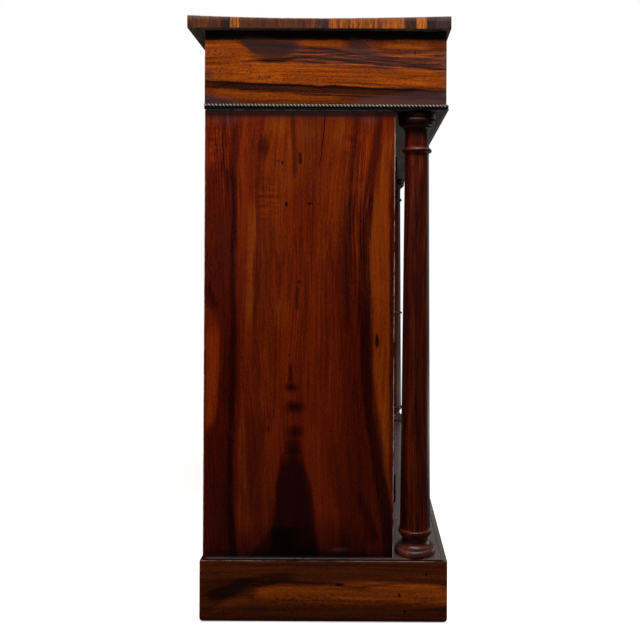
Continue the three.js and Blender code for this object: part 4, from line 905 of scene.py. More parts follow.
SIDE_STREAKS = (
    Streak(((94, -105.6, 12.2), (137, -100.8, 9.1), (182, -92.9, 7.6), (213, -86.7, 7.6), (258, -81.9, 7.6),
        (322, -72.4, 8.4), (365, -67.7, 7.6), (435, -64.2, 6.8), (552, -61.4, 6.8), (623, -64.8, 6.1),
        (681, -72.1, 4.9), (745, -81.8, 3), (775, -82.2, 2.3)), 5.9, -0.18),
    Streak(((94, -69.1, 42.6), (122, -68.9, 36.5), (182, -65.6, 25.8), (243, -60.7, 21.3), (304, -55.8, 19.8),
        (365, -52.5, 18.2), (435, -50.6, 18.2), (486, -48.8, 15.2), (552, -40.8, 12.2), (608, -42.1, 6.1),
        (663, -44.8, 1.5)), 19.3, -0.1),
    Streak(((418, -40, 1.5), (486, -35.1, 3.6), (565, -36.2, 3.6), (663, -44.1, 3), (745, -48.2, 2.7),
        (775, -48.8, 2.1)), 6.4, -0.11),
    Streak(((544, -47, 1.5), (578, -49.8, 4.6), (623, -55.7, 6.1), (681, -65.2, 6.8), (754, -65.6, 6.1)), 5.9, 0.06),
    Streak(((175, -103.6, 0.5), (195, -101.2, 1.5), (228, -98, 4.6), (274, -94, 8.4), (334, -88.3, 12.9),
        (435, -86.3, 13.7), (552, -84.9, 13.7), (623, -88.3, 11.4), (681, -93.4, 7.6), (715, -95.5, 5.3),
        (751, -97.6, 3)), 3.2, 0.09),
    Streak(((175, -103.6, 1.5), (243, -97.2, 7.6), (334, -89.1, 13.7), (435, -86.3, 16.7), (552, -84.9, 16.7),
        (623, -87.6, 13.7), (681, -93.4, 9.1), (763, -97.5, 4.6)), 4.6, 0.43, GOLD),
    Streak(((183, -103.9, 1.5), (532, -102.2, 1.4), (715, -101.4, 0.6)), 3.8, -0.19),
    Streak(((93, 157.4, 19.8), (181, 157.9, 19.8), (272, 155.3, 19.8), (318, 148, 11.4), (458, 148.7, 10.6),
        (485, 158, 19.8), (607, 158.6, 19.8), (668, 158.9, 16.7), (713, 159.2, 3)), 10.3, -0.13),
    Streak(((93, 154.4, 21.3), (637, 158.8, 21.3), (744, 159.3, 15.2)), 9.1, -0.9, GOLD),
    Streak(((93, 134.6, 3), (136, 138.7, 3), (212, 140.6, 2.1), (272, 140.4, 2.7), (333, 138.9, 2.7), (440, 138, 3),
        (516, 137.6, 3.3), (577, 137.2, 2.4), (637, 137.5, 1.4), (691, 137.2, 2.1), (721, 136.1, 3),
        (768, 135.7, 2.7)), 5.4, -0.15),
    Streak(((671, 155.3, 0.6), (713, 153.7, 1.4), (774, 153.7, 1.4)), 3.5, -0.16),
    Streak(((470, 127.5, 6.1), (577, 126.5, 7.6), (683, 124, 6.8), (774, 126, 6.1)), 5.9, 0.05),
    Streak(((432, 112.1, 2.1), (492, 111.2, 4.6), (549, 111.2, 5.2), (592, 109.9, 4.6), (653, 111, 3.6)), 4, 0.07),
    Streak(((432, 112.1, 3), (492, 110.9, 6.1), (592, 109.9, 6.1), (653, 111, 4.6)), 4.6, 0.5, GOLD),
    Streak(((437, 106, 0.9), (485, 105.4, 1.8), (531, 105, 1.5), (584, 104.1, 1.4)), 3.8, -0.11),
    Streak(((278, 169.7, 0.6), (288, 170, 4.6), (303, 170.7, 7.6), (321, 169.9, 8.2), (364, 169.2, 8.8),
        (424, 168.3, 8.5), (462, 168.2, 8.5)), 1.8, 0.12),
    Streak(((470, 163.1, 2.1), (485, 168.6, 2.4), (497, 173.2, 1.8), (512, 177.9, 0.9)), 5.4, -0.1),
    Streak(((665, 48.8, 1.5), (699, 46, 2), (729, 47.5, 1.5), (775, 49.1, 1.2)), 4.8, -0.13),
    Streak(((690, 38.3, 0.9), (702, 38.2, 1.7), (712, 38.2, 0.8)), 1.6, -0.22),
    Streak(((468, 40.2, 0.8), (486, 40, 1.2), (510, 39.8, 1.5)), 3.8, -0.12),
    Streak(((358, 50, 2.7), (373, 50.1, 1.5), (392, 50.5, 0.6)), 4.6, -0.19),
    Streak(((249, 46.4, 12.2), (258, 45.8, 9.1), (276, 45.9, 7.6)), 7.9, -0.12),
    Streak(((94, 43.4, 35), (136, 43.6, 29.6), (174, 43.8, 26.6), (206, 45.5, 22.8), (230, 46.6, 17.6),
        (261, 46.7, 12.2)), 6.7, -0.23),
    Streak(((93, 78.4, 30.4), (118, 69.4, 19.8), (145, 58.9, 12.2)), 11.6, -0.15),
    Streak(((108, 119.5, 3), (121, 119.6, 9.1), (151, 121.3, 11.6), (181, 126.6, 12.2), (227, 128.3, 10.6),
        (273, 128.9, 9.9), (321, 131.3, 8.4)), 4.3, 0.08),
    Streak(((108, 119.5, 6.1), (151, 121.3, 13.7), (227, 127.7, 13.7), (321, 131.3, 10.6)), 4.6, 0.32, GOLD),
    Streak(((121, 107.4, 7.6), (181, 112.3, 3.6), (227, 109.5, 6.1), (288, 105.3, 13.7),
        (333, 105.5, 12.2)), 6.7, -0.06),
    Streak(((166, 80.3, 6.1), (212, 80.5, 8.5), (258, 77.7, 9.1), (311, 78, 8.4)), 5.1, 0.06),
    Streak(((129, -9.6, 19.8), (182, 2.8, 16.7), (258, 15.4, 12.2), (322, 23.3, 9.1)), 9.9, 0.06),
    Streak(((109, -78.1, 7.6), (144, -71.8, 5.5), (170, -62.6, 4), (201, -53.3, 1.5)), 7.4, -0.12),
)
SIDE_KNOTS = (
    Knot(353.5, 49.3, 10.6, 15.2, -0.3, 1), Knot(323.1, 44.6, 13.7, 22.8, -0.28, 1),
    Knot(285.1, 42.9, 15.2, 21.3, -0.24, 1), Knot(254.7, 45.8, 36.5, 13.7, -0.16, 1),
    Knot(424.1, -81.3, 14.4, 4, -0.36, 0.6), Knot(718.2, 93.1, 25.8, 13.7, -0.2, 0.9),
    Knot(750.2, 72.7, 22.8, 24.3, 0.68, 0.9, GOLD), Knot(742.8, 24, 27.4, 24.3, 0.68, 0.9, GOLD),
    Knot(737, -23.1, 39.5, 21.3, 0.38, 1, GOLD), Knot(694.9, 63.6, 3.3, 2.6, -0.34),
    Knot(697.7, 70.9, 1.8, 6.1, -0.14), Knot(631.1, 57.5, 5.5, 2.7, -0.36), Knot(633.1, 22.2, 2.3, 5.2, -0.38),
    Knot(513.2, 37.1, 4.6, 5.2, -0.18), Knot(402.8, 52.6, 1.8, 1.5, -0.36), Knot(289.5, 84, 7.6, 2, -0.26),
    Knot(615.1, 37, 63.8, 33.4, -0.8, 1, GOLD), Knot(470.5, 65.2, 36.5, 18.2, 0.6, 1, GOLD),
    Knot(642.2, 85.8, 54.7, 30.4, 1, 0.7, RIPPLE), Knot(713.2, 168.3, 66.9, 13.7, 0.9, 0.7, RIPPLE),
    Knot(726.5, -41.4, 33.4, 19.8, 1, 0.8, RIPPLE), Knot(538.7, 112.6, 91.2, 12.2, 0.5, 0.8, RIPPLE),
    Knot(683.5, 37.4, 167.2, 106.4, 0.26, 1, GOLD), Knot(713.2, 159.2, 121.6, 27.4, 1, 0.8, LINES),
    Knot(607.9, -54.2, 197.6, 33.4, 0.8, 0.8, LINES), Knot(227.4, 35, 228, 182.4, -0.32, 1, LINES),
    # Painted shade: these four knots darken the panel towards its foot, where less light falls.
    Knot(90.6, 34.3, 25.8, 228, -0.16, 0.9), Knot(90.6, 34.3, 76, 228, -0.2, 1),
    Knot(181.8, 34.8, 136.8, 212.8, -0.07, 1), Knot(196.5, 138.2, 136.8, 51.7, -0.07, 1),
    Knot(107.6, -23.4, 2.4, 13.7, 0.22, 0.8), Knot(106.9, -23.4, 6.1, 24.3, 0.21, 0.9, HAZE),
    # Painted shade: a dark line along the panel's top, under the rope moulding. Painted light: the two wide grey
    # knots that follow lift the rope's cast shadow.
    Knot(774.4, 42.4, 4, 334.4, -0.5, 0.5), Knot(773.1, 42.4, 9.1, 395.3, 0.42, 0.7, HAZE),
    Knot(777.7, 37.9, 24.3, 228, 0.29, 1, HAZE), Knot(766.1, -67.1, 18.2, 25.8, 0.21, 0.8, HAZE),
    Knot(761.9, 150.3, 18.2, 39.5, 0.17, 0.9, HAZE),
)
SIDE_CRACKS = (
    Streak(((681, 8.5, 0.2), (699, 6.2, 0.3), (722, 3.2, 0.4), (744, 1.2, 0.5), (776, -0.4, 0.3)), 0.5, -1),
)
SIDE_LEAF = Leaf(
    along=(94.0, 775.0), across=(-107.5, 182.5), along_axis="Z", across_axis="Y",
    streaks=SIDE_STREAKS, knots=SIDE_KNOTS, cracks=SIDE_CRACKS,
)

FRIEZE_STREAKS = (
    # Painted shadow: this first streak darkens the frieze end along its top, under the top's overhang.
    Streak(((-185, 891.5, 7), (185, 890.2, 7)), 4.6, -0.75),
    Streak(((105, 852.7, 0.9), (111, 855.2, 5.5), (120, 858.1, 9.7), (132, 860.9, 13), (152, 862.3, 15.2),
        (185, 862.9, 15.2)), 1.7, 0.12),
    Streak(((105, 852.7, 1.5), (111, 855.2, 7.6), (129, 860.1, 13.7), (152, 862.3, 16.7),
        (185, 862.9, 16.7)), 3, 0.58, GOLD),
    Streak(((29, 874.3, 0.9), (46, 871.2, 5.5), (68, 866.5, 9.7), (96, 869.4, 11.4), (117, 876.9, 7.6),
        (135, 882.9, 4.6)), 5.2, -0.24),
    Streak(((23, 874.4, 1.5), (44, 871.2, 7.6), (68, 866.5, 10.6), (96, 869.4, 12.1), (117, 876.9, 7.6),
        (135, 882.9, 4.6)), 7.3, 0.14, HAZE),
    Streak(((-185, 836, 1.7), (-114, 841.7, 1.4), (-38, 847.7, 1.7), (20, 853.3, 1.4), (84, 850.1, 1.8),
        (109, 849.9, 1.2)), 1.2, -0.3),
    Streak(((-124, 850.1, 0.8), (-61, 856.6, 1.2), (-7, 865.4, 1.4), (35, 869, 0.9)), 1.2, -0.2),
    Streak(((-185, 841.3, 1.2), (-114, 847, 1.2), (-53, 853.5, 1.2), (2, 859.3, 0.8)), 1.2, -0.22),
    Streak(((-114, 837.1, 0.6), (-30, 842.8, 1.1), (38, 848.5, 1.1), (105, 845.1, 1.1)), 1.2, -0.13),
    Streak(((-185, 849.7, 0.9), (-98, 854.7, 0.8), (-23, 860.9, 0.8), (38, 862.1, 0.8)), 1.1, -0.16),
    Streak(((-185, 848.1, 10.6), (-114, 850.8, 10.6), (-7, 854.8, 9.9), (59, 857.5, 6.1)), 4.6, 1, LINES),
    Streak(((-185, 848.1, 10.6), (-114, 850.8, 10.6), (-7, 854.8, 9.9), (59, 857.5, 6.1)), 9.7, 0.14, HAZE),
    Streak(((-38, 879.2, 3), (-22, 877.6, 7.6), (23, 877.4, 7.6), (56, 872.7, 1.5)), 3.9, 0.1),
    Streak(((-74, 861.2, 1.5), (-62, 865.7, 7.6), (-48, 873.2, 9.1), (-33, 880.7, 2.4)), 3.6, -0.15),
    Streak(((-77, 861.2, 3), (-62, 865.7, 9.1), (-48, 871.7, 10.6), (-33, 880.7, 3)), 7.3, 0.11, HAZE),
    Streak(((-165, 875.3, 3), (-144, 876.7, 7.6), (-114, 876.6, 7.6), (-83, 874.9, 3)), 3.9, 0.13),
    Streak(((-185, 822.4, 12.1), (-144, 823.7, 13), (-83, 826.4, 14.6), (38, 829.7, 14.6), (165, 829.6, 12.1),
        (185, 829.5, 9.1)), 2.7, 0.17),
    Streak(((-185, 823.9, 15.2), (-83, 827.9, 18.2), (38, 830.3, 16.7), (185, 829.5, 10.6)), 4.6, 0.65, GOLD),
    Streak(((-185, 796.6, 5.2), (-114, 801.7, 4.6), (-23, 805.1, 4.9), (98, 808.4, 4.6),
        (185, 812.8, 3.9)), 2.4, -0.2),
    Streak(((-185, 802.6, 1.2), (-114, 806.2, 1.1), (-23, 809.7, 1.1), (83, 812.9, 1.2),
        (185, 817.7, 0.9)), 1.1, -0.24),
    Streak(((-185, 790.5, 1.1), (-84, 794.5, 1.1), (53, 798.4, 0.8)), 1.1, -0.16),
    Streak(((-31, 792.7, 1.5), (38, 793.3, 3), (80, 794.6, 4.2), (129, 795.8, 4.6), (180, 801.3, 3)), 2.4, 0.13),
    Streak(((135, 783.7, 1.5), (167, 786.5, 4.6), (185, 790.1, 6.1)), 2.7, -0.2),
    Streak(((129, 783.7, 3), (167, 786.5, 6.1), (185, 790.1, 7.6)), 5.8, 0.28, HAZE),
    Streak(((-185, 790.5, 10.6), (-144, 790.3, 9.1), (-99, 788.5, 6.1), (-38, 786.7, 1.5)), 7.3, 0.31, HAZE),
    Streak(((-185, 790.5, 10.6), (-144, 790.3, 9.1), (-99, 788.5, 6.1), (-38, 786.7, 1.5)), 4.6, -0.08),
)
FRIEZE_KNOTS = (
    Knot(177.5, 828, 12.1, 10.6, -0.2, 0.9), Knot(177.5, 828, 12.1, 10.6, 0.21, 0.9, HAZE),
    Knot(-135.6, 861.5, 2.1, 5.2, -0.25), Knot(165.5, 863, 13.7, 8.3, 0.9, 0.6, EYES),
    Knot(159.3, 835.7, 10.6, 9.1, 0.9, 0.6, EYES), Knot(115.3, 834.4, 13.7, 8.3, 0.8, 0.6, EYES),
    Knot(92.5, 822.4, 13.7, 5.5, 0.9, 0.6, EYES), Knot(60.7, 827.1, 9.1, 6.1, 0.8, 0.6, EYES),
    Knot(-15.2, 813.9, 12.1, 3.6, 0.8, 0.6, EYES), Knot(37.9, 822.7, 212.3, 18.2, 0.3, 1, EYES),
    # Painted shade: the second knot here darkens the frieze end's back corner under the top.
    Knot(-180.5, 836, 6.1, 60.7, 0.24, 0.9, HAZE), Knot(174.7, 882.7, 45.5, 7.6, -0.08, 0.9),
    Knot(-112, 873.5, 39.4, 9.1, 0.52, 0.9, GOLD), Knot(7.8, 877.5, 45.5, 9.1, 0.38, 0.9, GOLD),
)
FRIEZE_LEAF = Leaf(
    along=(-184.5, 182.5), across=(775.0, 895.0), along_axis="Y", across_axis="Z",
    streaks=FRIEZE_STREAKS, knots=FRIEZE_KNOTS,
)

PLINTH_STREAKS = (
    Streak(((-190, 45.4, 10.5), (-163, 46.8, 12.9), (-117, 48.1, 12.6), (-72, 49.3, 11.4), (-27, 49.1, 9.6),
        (48, 47.2, 7.5), (111, 45.4, 3)), 6, 0.17),
    Streak(((-187, 48.4, 4.5), (-163, 51.3, 8.1), (-102, 54, 6.6), (-60, 55.3, 3)), 4.5, 0.09),
    Streak(((-190, 45.4, 16.5), (48, 47.2, 12), (111, 45.4, 4.5)), 7.5, 0.65, GOLD),
    Streak(((-189, 78.5, 12), (190, 79.6, 12)), 6, -0.7, GOLD),
    Streak(((-190, 59, 1.4), (-117, 61.6, 1.4), (-45, 55.2, 1.4), (-24, 58.7, 2.1), (33, 61.4, 1.5),
        (96, 60.5, 1.5)), 1.8, -0.14),
    Streak(((-189, 86.1, 1.1), (3, 88.1, 1.4), (190, 85.6, 1.1)), 1.8, -0.1),
    Streak(((-190, 16.9, 7.5), (189, 14.9, 7.5)), 7.5, -0.13),
    Streak(((105, 37.9, 3), (141, 28.7, 4.5), (171, 13.5, 3)), 3.6, 0.09),
    Streak(((33, 69.9, 3), (90, 65, 6), (146, 46.7, 7.5), (183, 34.5, 6)), 6, -0.15),
)
PLINTH_KNOTS = (
    Knot(150.3, 49.7, 66.2, 36.1, -0.13, 1), Knot(112.8, 64.9, 25.6, 6, -0.12, 0.9),
    Knot(-26.2, 59.2, 9, 2.9, -0.34), Knot(-116.4, 43, 2.7, 4.8, -0.34), Knot(-156.4, 73.9, 1.8, 3.9, -0.25),
    Knot(-123.6, 18, 3, 3, -0.25), Knot(10.4, 33.9, 120.3, 15, 0.5, 0.8, EYES),
    Knot(-140, 39.2, 54.2, 15, 0.36, 0.8, EYES), Knot(150.2, 13.6, 21.1, 7.5, 0.3, 0.9, EYES),
)
PLINTH_LEAF = Leaf(
    along=(-188.1, 184.5), across=(0.0, 94.0), along_axis="Y", across_axis="Z",
    streaks=PLINTH_STREAKS, knots=PLINTH_KNOTS,
)


# The columns' heads, darkened as painted shade under the frieze, and a light grey veil over their feet.
COLUMN_LEAF = Leaf(
    along=(94.0, 775.0), across=(-200.0, -80.0), along_axis="Z", across_axis="Y",
    knots=(Knot(775.0, -142.0, 46.0, 150.0, -0.34, 0.9),
        Knot(94.0, -142.0, 40.0, 150.0, 0.16, 0.8, HAZE)),
)

# Rosewood with upright grain and a full french polish: the glossy red-brown side with its flame, painted shade at its
# foot and under the rope moulding, and painted light lifting the rope's shadow.
SIDE_VENEER = WoodFinish(
    "Rosewood veneer, upright, french polished", "polished_veneer", Grain.UPRIGHT, ROSEWOOD, GOLDEN_ROSEWOOD,
    gild=0.2, middle=0.47, cloud=0.08, streak=0.13, line=0.04, vein=0.03, fibre=0.11, ripple=0.06, mottle=0.08,
    pores=0.14, leaf=SIDE_LEAF, worn="b8a398", wear=0.8,
)
# The same wood on the other upright parts.
UPRIGHT_VENEER = WoodFinish(
    "Rosewood veneer on frames, french polished", "polished_veneer", Grain.UPRIGHT, ROSEWOOD, GOLDEN_ROSEWOOD,
    middle=0.47, cloud=0.32, streak=0.2, line=0.06, vein=0.18, fibre=0.1, pores=0.16, shift=(130, 40, 0),
)
# Rosewood laid lengthwise on the frieze's ends: orange oval, dark bands, open pores, and a band of painted shadow
# under the top.
FRIEZE_VENEER = WoodFinish(
    "Rosewood veneer on the frieze end, french polished", "polished_veneer", Grain.FRONT_TO_BACK,
    BROWN_ROSEWOOD, GOLDEN_ROSEWOOD, gild=0.5, middle=0.43, cloud=0.1, streak=0.17, line=0.06, vein=0.06,
    fibre=0.12, pores=0.3, mottle=0.1, leaf=FRIEZE_LEAF, shift=(0, 0, 55), worn="8d7a70", wear=0.4,
)
# The same along the front, from one log, so that the drawers match the rails.
FRONT_VENEER = WoodFinish(
    "Rosewood veneer on the front, french polished", "polished_veneer", Grain.ACROSS_FRONT,
    BROWN_ROSEWOOD, GOLDEN_ROSEWOOD, middle=0.48, cloud=0.34, streak=0.2, line=0.06, vein=0.2, fibre=0.1, pores=0.25,
)
# The plinth's ends, darker from handling, brushes and feet.
PLINTH_VENEER = WoodFinish(
    "Rosewood veneer on the plinth end, worn polish", "polished_veneer", Grain.FRONT_TO_BACK,
    BROWN_ROSEWOOD, GOLDEN_ROSEWOOD, gild=0.4, middle=0.43, cloud=0.12, streak=0.13, line=0.03, vein=0.05, fibre=0.1,
    pores=0.2, mottle=0.08, coat_roughness=0.2, leaf=PLINTH_LEAF, worn="8d8074", wear=0.7,
)
# The plinth's front in the same worn polish.
PLINTH_FRONT_VENEER = WoodFinish(
    "Rosewood veneer on the plinth front, worn polish", "polished_veneer", Grain.ACROSS_FRONT,
    BROWN_ROSEWOOD, GOLDEN_ROSEWOOD, middle=0.42, cloud=0.3, streak=0.2, vein=0.2, fibre=0.1, pores=0.2,
    coat_roughness=0.24, worn="8d8074", wear=0.6, shift=(70, 0, 20),
)
# The top's face, long matched leaves, the brightest polish.
TOP_VENEER = WoodFinish(
    "Rosewood veneer on the top, french polished", "top_veneer", Grain.ACROSS_FRONT, BROWN_ROSEWOOD, GOLDEN_ROSEWOOD,
    middle=0.48, cloud=0.34, streak=0.22, line=0.06, vein=0.22, cloud_size=(620, 75), coat=0.9, coat_roughness=0.12,
)
# The door panels' flame, wide clouds of red and black.
PANEL_VENEER = WoodFinish(
    "Rosewood flame veneer on the door panels, french polished", "door_panel_veneer", Grain.UPRIGHT,
    ROSEWOOD, GOLDEN_ROSEWOOD, middle=0.5, cloud=0.5, streak=0.2, line=0.05, vein=0.16, ripple=0.12,
    cloud_size=(380, 80), shift=(0, 60, 210),
)
# Turned rosewood, stained dark and rubbed with wax: the columns and knobs.
COLUMN_WOOD = WoodFinish(
    "Dark stained rosewood, turned and waxed", "column_wood", Grain.UPRIGHT, DARK_ROSEWOOD,
    middle=0.56, cloud=0.4, streak=0.34, line=0.08, vein=0.16, mottle=0.1, cloud_size=(260, 16),
    streak_size=(150, 3.6), coat=0.5, coat_roughness=0.34, roughness=0.5, worn="6a4a40", wear=0.4, leaf=COLUMN_LEAF,
)
# The platform, darkened at its ends beside the side panels as painted shade.
PLATFORM_LEAF = Leaf(
    along=(-502.0, 502.0), across=(-188.0, 185.0), along_axis="X", across_axis="Y",
    knots=(Knot(-497.0, 50.0, 10.0, 200.0, -0.7, 0.3),
        Knot(497.0, 50.0, 10.0, 200.0, -0.7, 0.3)),
)
# The platform's face, dark below a skin of dust and scuffs that turns grey at a low angle.
PLATFORM_WOOD = WoodFinish(
    "Dark stained mahogany, scuffed and dusty polish", "mahogany", Grain.ACROSS_FRONT,
    ("1a0f0c", "2c1c18", "3d2a25", "4e3a34", "604b44", "735d55"),
    middle=0.5, cloud=0.3, streak=0.25, vein=0.1, mottle=0.14, coat=0.8, coat_roughness=0.26, roughness=0.5,
    shine=0.5, worn="6f625a", wear=0.4, leaf=PLATFORM_LEAF,
)
# The narrow top of the plinth's ends, stained nearly black as painted shade beside the side panels.
PLINTH_TOP_PAINTED_SHADE_WOOD = WoodFinish(
    "Dark stained rosewood, painted shade", "mahogany", Grain.FRONT_TO_BACK, DARK_ROSEWOOD,
    middle=0.26, cloud=0.3, streak=0.2, vein=0.1, mottle=0.14, coat=0.12, coat_roughness=0.5, roughness=0.8,
    worn="8d8074", wear=0.7,
)
# The underside of the frieze, stained dark without polish, dusty.
SOFFIT_WOOD = WoodFinish(
    "Dark stained mahogany, unpolished and dusty underside", "mahogany", Grain.ACROSS_FRONT, DUSTY,
    middle=0.42, cloud=0.4, streak=0.3, vein=0.1, mottle=0.2, coat=0.0, roughness=0.7, shine=0.5, seams=(35.0, 242.0),
)
# Black beading, stained and polished, its crests rubbed back to the wood; that pale wear also paints the glints of
# light on them.
ROPE_WOOD = WoodFinish(
    "Ebonised beading, carved and polished", "ebonised_wood", Grain.FRONT_TO_BACK, EBONY,
    middle=0.2, cloud=0.2, streak=0.2, vein=0.0, coat=0.35, coat_roughness=0.36, roughness=0.6,
    worn="a39186", wear=0.95, even=0.75,
)
# Plain mahogany inside the cupboard: oiled, no polish.
INNER_WOOD = WoodFinish(
    "Plain mahogany, oiled inside", "mahogany", Grain.ACROSS_FRONT, MAHOGANY,
    middle=0.45, cloud=0.35, streak=0.3, vein=0.1, coat=0.15, coat_roughness=0.4, roughness=0.55, worn="9c7350",
)
# The same mahogany where its grain stands upright.
INNER_UPRIGHT_WOOD = replace(INNER_WOOD, name="Plain mahogany, oiled inside, upright", grain=Grain.UPRIGHT)
# Bare pine from the plane, gone brown with age and dust.
PINE_WOOD = WoodFinish(
    "Bare pine, planed", "pine", Grain.ACROSS_FRONT, PINE,
    middle=0.5, cloud=0.3, streak=0.45, vein=0.12, pores=0.1, ripple=0.0, coat=0.0, roughness=0.72, worn="c2a27c",
)
# The same with upright grain, the back panel.
PINE_UPRIGHT_WOOD = replace(
    PINE_WOOD, name="Bare pine, planed, upright", grain=Grain.UPRIGHT,
    middle=0.46, cloud=0.35, streak=0.5, vein=0.14, roughness=0.74,
)
# The same with its grain from front to back, the drawers' linings.
PINE_LINING_WOOD = replace(
    PINE_WOOD, name="Bare pine, planed, drawer linings", grain=Grain.FRONT_TO_BACK,
    middle=0.52, streak=0.4, vein=0.1,
)
# Cast and filed brass gone brown, bright where it is rubbed.
BRASS = MetalFinish("Brass, cast and filed, tarnished", "brass", "4a3818", "1d150b", 0.4, 0.66)
# Iron of the lock and screws, filed, with grey-brown oxide.
IRON = MetalFinish("Iron, filed and oiled", "lock_steel", "4a4642", "26221f", 0.36, 0.62, 3.0)



class Finishes:
    """Keeps one material for each finish, made when it is first asked for."""

    def __init__(self) -> None:
        """Starts with no material made."""
        self.made: Dict[str, Material] = {}

    def get(self, finish: Finish) -> Material:
        """Returns the one material of a wood, a metal or the crossbanding."""
        if finish.name not in self.made:
            self.made[finish.name] = finish.material()
        return self.made[finish.name]


FINISHES = Finishes()
EDGE_BAND = Crossbanding()


def piece_from(bm: Mesh, name: str, body: str, finishes: Sequence[Finish], smooth: bool) -> Piece:
    """Turns a finished bmesh into a dressed piece that rides on a body.

    Args:
        bm: the mesh in metres, in the object's frame; it is freed.
        name: the piece's name.
        body: the body that carries it.
        finishes: its finishes by its faces' numbers; the last one shows most.
        smooth: whether rounded faces are shaded smooth.

    Returns:
        The piece.
    """
    bmesh.ops.recalc_face_normals(bm, faces=bm.faces)
    for face in bm.faces:
        face.smooth = smooth
    mesh = bpy.data.meshes.new(name)
    bm.to_mesh(mesh)
    bm.free()
    if smooth:
        mesh.set_sharp_from_angle(angle=SMOOTH_ANGLE)
    made = bpy.data.objects.new(name, mesh)
    bpy.context.scene.collection.objects.link(made)
    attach(made, body)
    for finish in finishes:
        mesh.materials.append(FINISHES.get(finish))
    LOG.info("%s: %d faces on %s", name, len(mesh.polygons), body)
    return made


def look_of(bm: Mesh, node: str, finishes: Sequence[Finish], smooth: bool) -> Piece:
    """Turns a finished bmesh into the dressed piece that stands for a frame node.

    Args:
        bm: the geometry, which is used up.
        node: the frame's node.
        finishes: finishes by their number on the faces.
        smooth: whether round faces are shaded smooth.

    Returns:
        The piece.
    """
    made = piece_from(bm, node + "_look", body_of_node(node), finishes, smooth)
    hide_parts(node)
    return made


def body_of_node(node: str) -> str:
    """Returns the name of the body that carries a frame node."""
    return frame["nodes"][node]["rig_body"]


def open_node(node: str) -> Mesh:
    """Opens a merged copy of a frame node's mesh, its flat faces made whole.

    Args:
        node: the frame's node.

    Returns:
        The geometry.
    """
    bm = bmesh.new()
    bm.from_mesh(frame["nodes"][node].data)
    bmesh.ops.remove_doubles(bm, verts=bm.verts, dist=MERGE_DISTANCE * MM)
    bmesh.ops.dissolve_limit(bm, angle_limit=FLAT_ANGLE, verts=bm.verts, edges=bm.edges)
    bmesh.ops.recalc_face_normals(bm, faces=bm.faces)
    return bm


def is_arris(edge: bmesh.types.BMEdge) -> bool:
    """Returns whether two faces meet at an edge in a sharp outward arris."""
    return len(edge.link_faces) == 2 and edge.is_convex and edge.calc_face_angle(0) > SHARP_ANGLE


def bevel(bm: Mesh, edges: Sequence[bmesh.types.BMEdge], width: float, segments: int, clamp: bool) -> dict:
    """Rounds edges.

    Args:
        bm: the geometry.
        edges: the edges.
        width: how far, in mm.
        segments: in how many steps.
        clamp: whether to stop short of the next edge.

    Returns:
        What the bevel made.
    """
    return bmesh.ops.bevel(
        bm, geom=edges, offset=width * MM, offset_type="OFFSET", segments=segments, profile=0.5, affect="EDGES",
        clamp_overlap=clamp, material=-1,
    )


def soften(bm: Mesh, width: float, shortest: float, segments: int = 2) -> None:
    """Rounds the outward arrises and marks the new faces as worn, unless they look down.

    Args:
        bm: the mesh.
        width: how far each arris is rounded, in mm.
        shortest: edges shorter than this many mm stay sharp.
        segments: steps of the rounding.
    """
    mark = bm.faces.layers.float.get(ARRIS) or bm.faces.layers.float.new(ARRIS)
    edges = [e for e in bm.edges if is_arris(e) and e.calc_length() > shortest * MM]
    for face in bevel(bm, edges, width, segments, True)["faces"]:
        face.normal_update()
        face[mark] = 0.0 if face.normal.z < DOWNWARD else 1.0


def cut(bm: Mesh, point: Vector, way: Vector, distance: float = CUT_DISTANCE) -> None:
    """Cuts the faces along a plane through a point and keeps both sides; distance in metres."""
    geometry = [*bm.verts, *bm.edges, *bm.faces]
    bmesh.ops.bisect_plane(bm, geom=geometry, dist=distance, plane_co=point, plane_no=way)


def trim(bm: Mesh, point: Vector, way: Vector) -> None:
    """Cuts away what lies beyond a plane and closes the cut.

    Args:
        bm: the geometry.
        point: a point of the plane.
        way: where the cut part lies.
    """
    geometry = [*bm.verts, *bm.edges, *bm.faces]
    bmesh.ops.bisect_plane(
        bm, geom=geometry, dist=FINE_CUT_DISTANCE, plane_co=point, plane_no=way, clear_outer=True
    )
    rim = [e for e in bm.edges if e.is_boundary]
    bmesh.ops.holes_fill(bm, edges=rim, sides=0)


def join(whole: Mesh, part: Mesh) -> None:
    """Adds geometry to other geometry.

    Args:
        whole: what grows.
        part: what is added and freed.
    """
    mesh = bpy.data.meshes.new("part")
    part.to_mesh(mesh)
    part.free()
    whole.from_mesh(mesh)
    bpy.data.meshes.remove(mesh)


def sweep(start: Point, end: Point, bulge: bool, steps: int = 8) -> List[Point]:
    """Returns the points of a quarter oval between two points of a turned outline, without the first.

    Args:
        start: radius and height where it begins.
        end: radius and height where it ends.
        bulge: whether it moves outward first.
        steps: how many points.

    Returns:
        The points.
    """
    points = []
    for i in range(1, steps + 1):
        angle = math.pi / 2 * i / steps
        first = math.sin(angle) if bulge else 1 - math.cos(angle)
        second = 1 - math.cos(angle) if bulge else math.sin(angle)
        points.append((start[0] + (end[0] - start[0]) * first, start[1] + (end[1] - start[1]) * second))
    return points


def turn(outline: Sequence[Point], axis_at: Vector, way: Vector, segments: int = 96) -> Mesh:
    """Turns an outline, drawn along X, on a lathe.

    Args:
        outline: radius and place along the axis, both in mm.
        axis_at: a point of the axis, in metres, from which places are counted.
        way: the axis' direction.
        segments: steps round.

    Returns:
        The turned mesh.
    """
    bm = bmesh.new()
    verts = [bm.verts.new(axis_at + ALONG_X * (r * MM) + way * (z * MM)) for r, z in outline]
    edges = [bm.edges.new(pair) for pair in zip(verts, verts[1:])]
    geometry = [*verts, *edges]
    bmesh.ops.spin(bm, geom=geometry, cent=axis_at, axis=way, angle=2 * math.pi, steps=segments, use_merge=True)
    bmesh.ops.remove_doubles(bm, verts=bm.verts, dist=CUT_DISTANCE)
    return bm


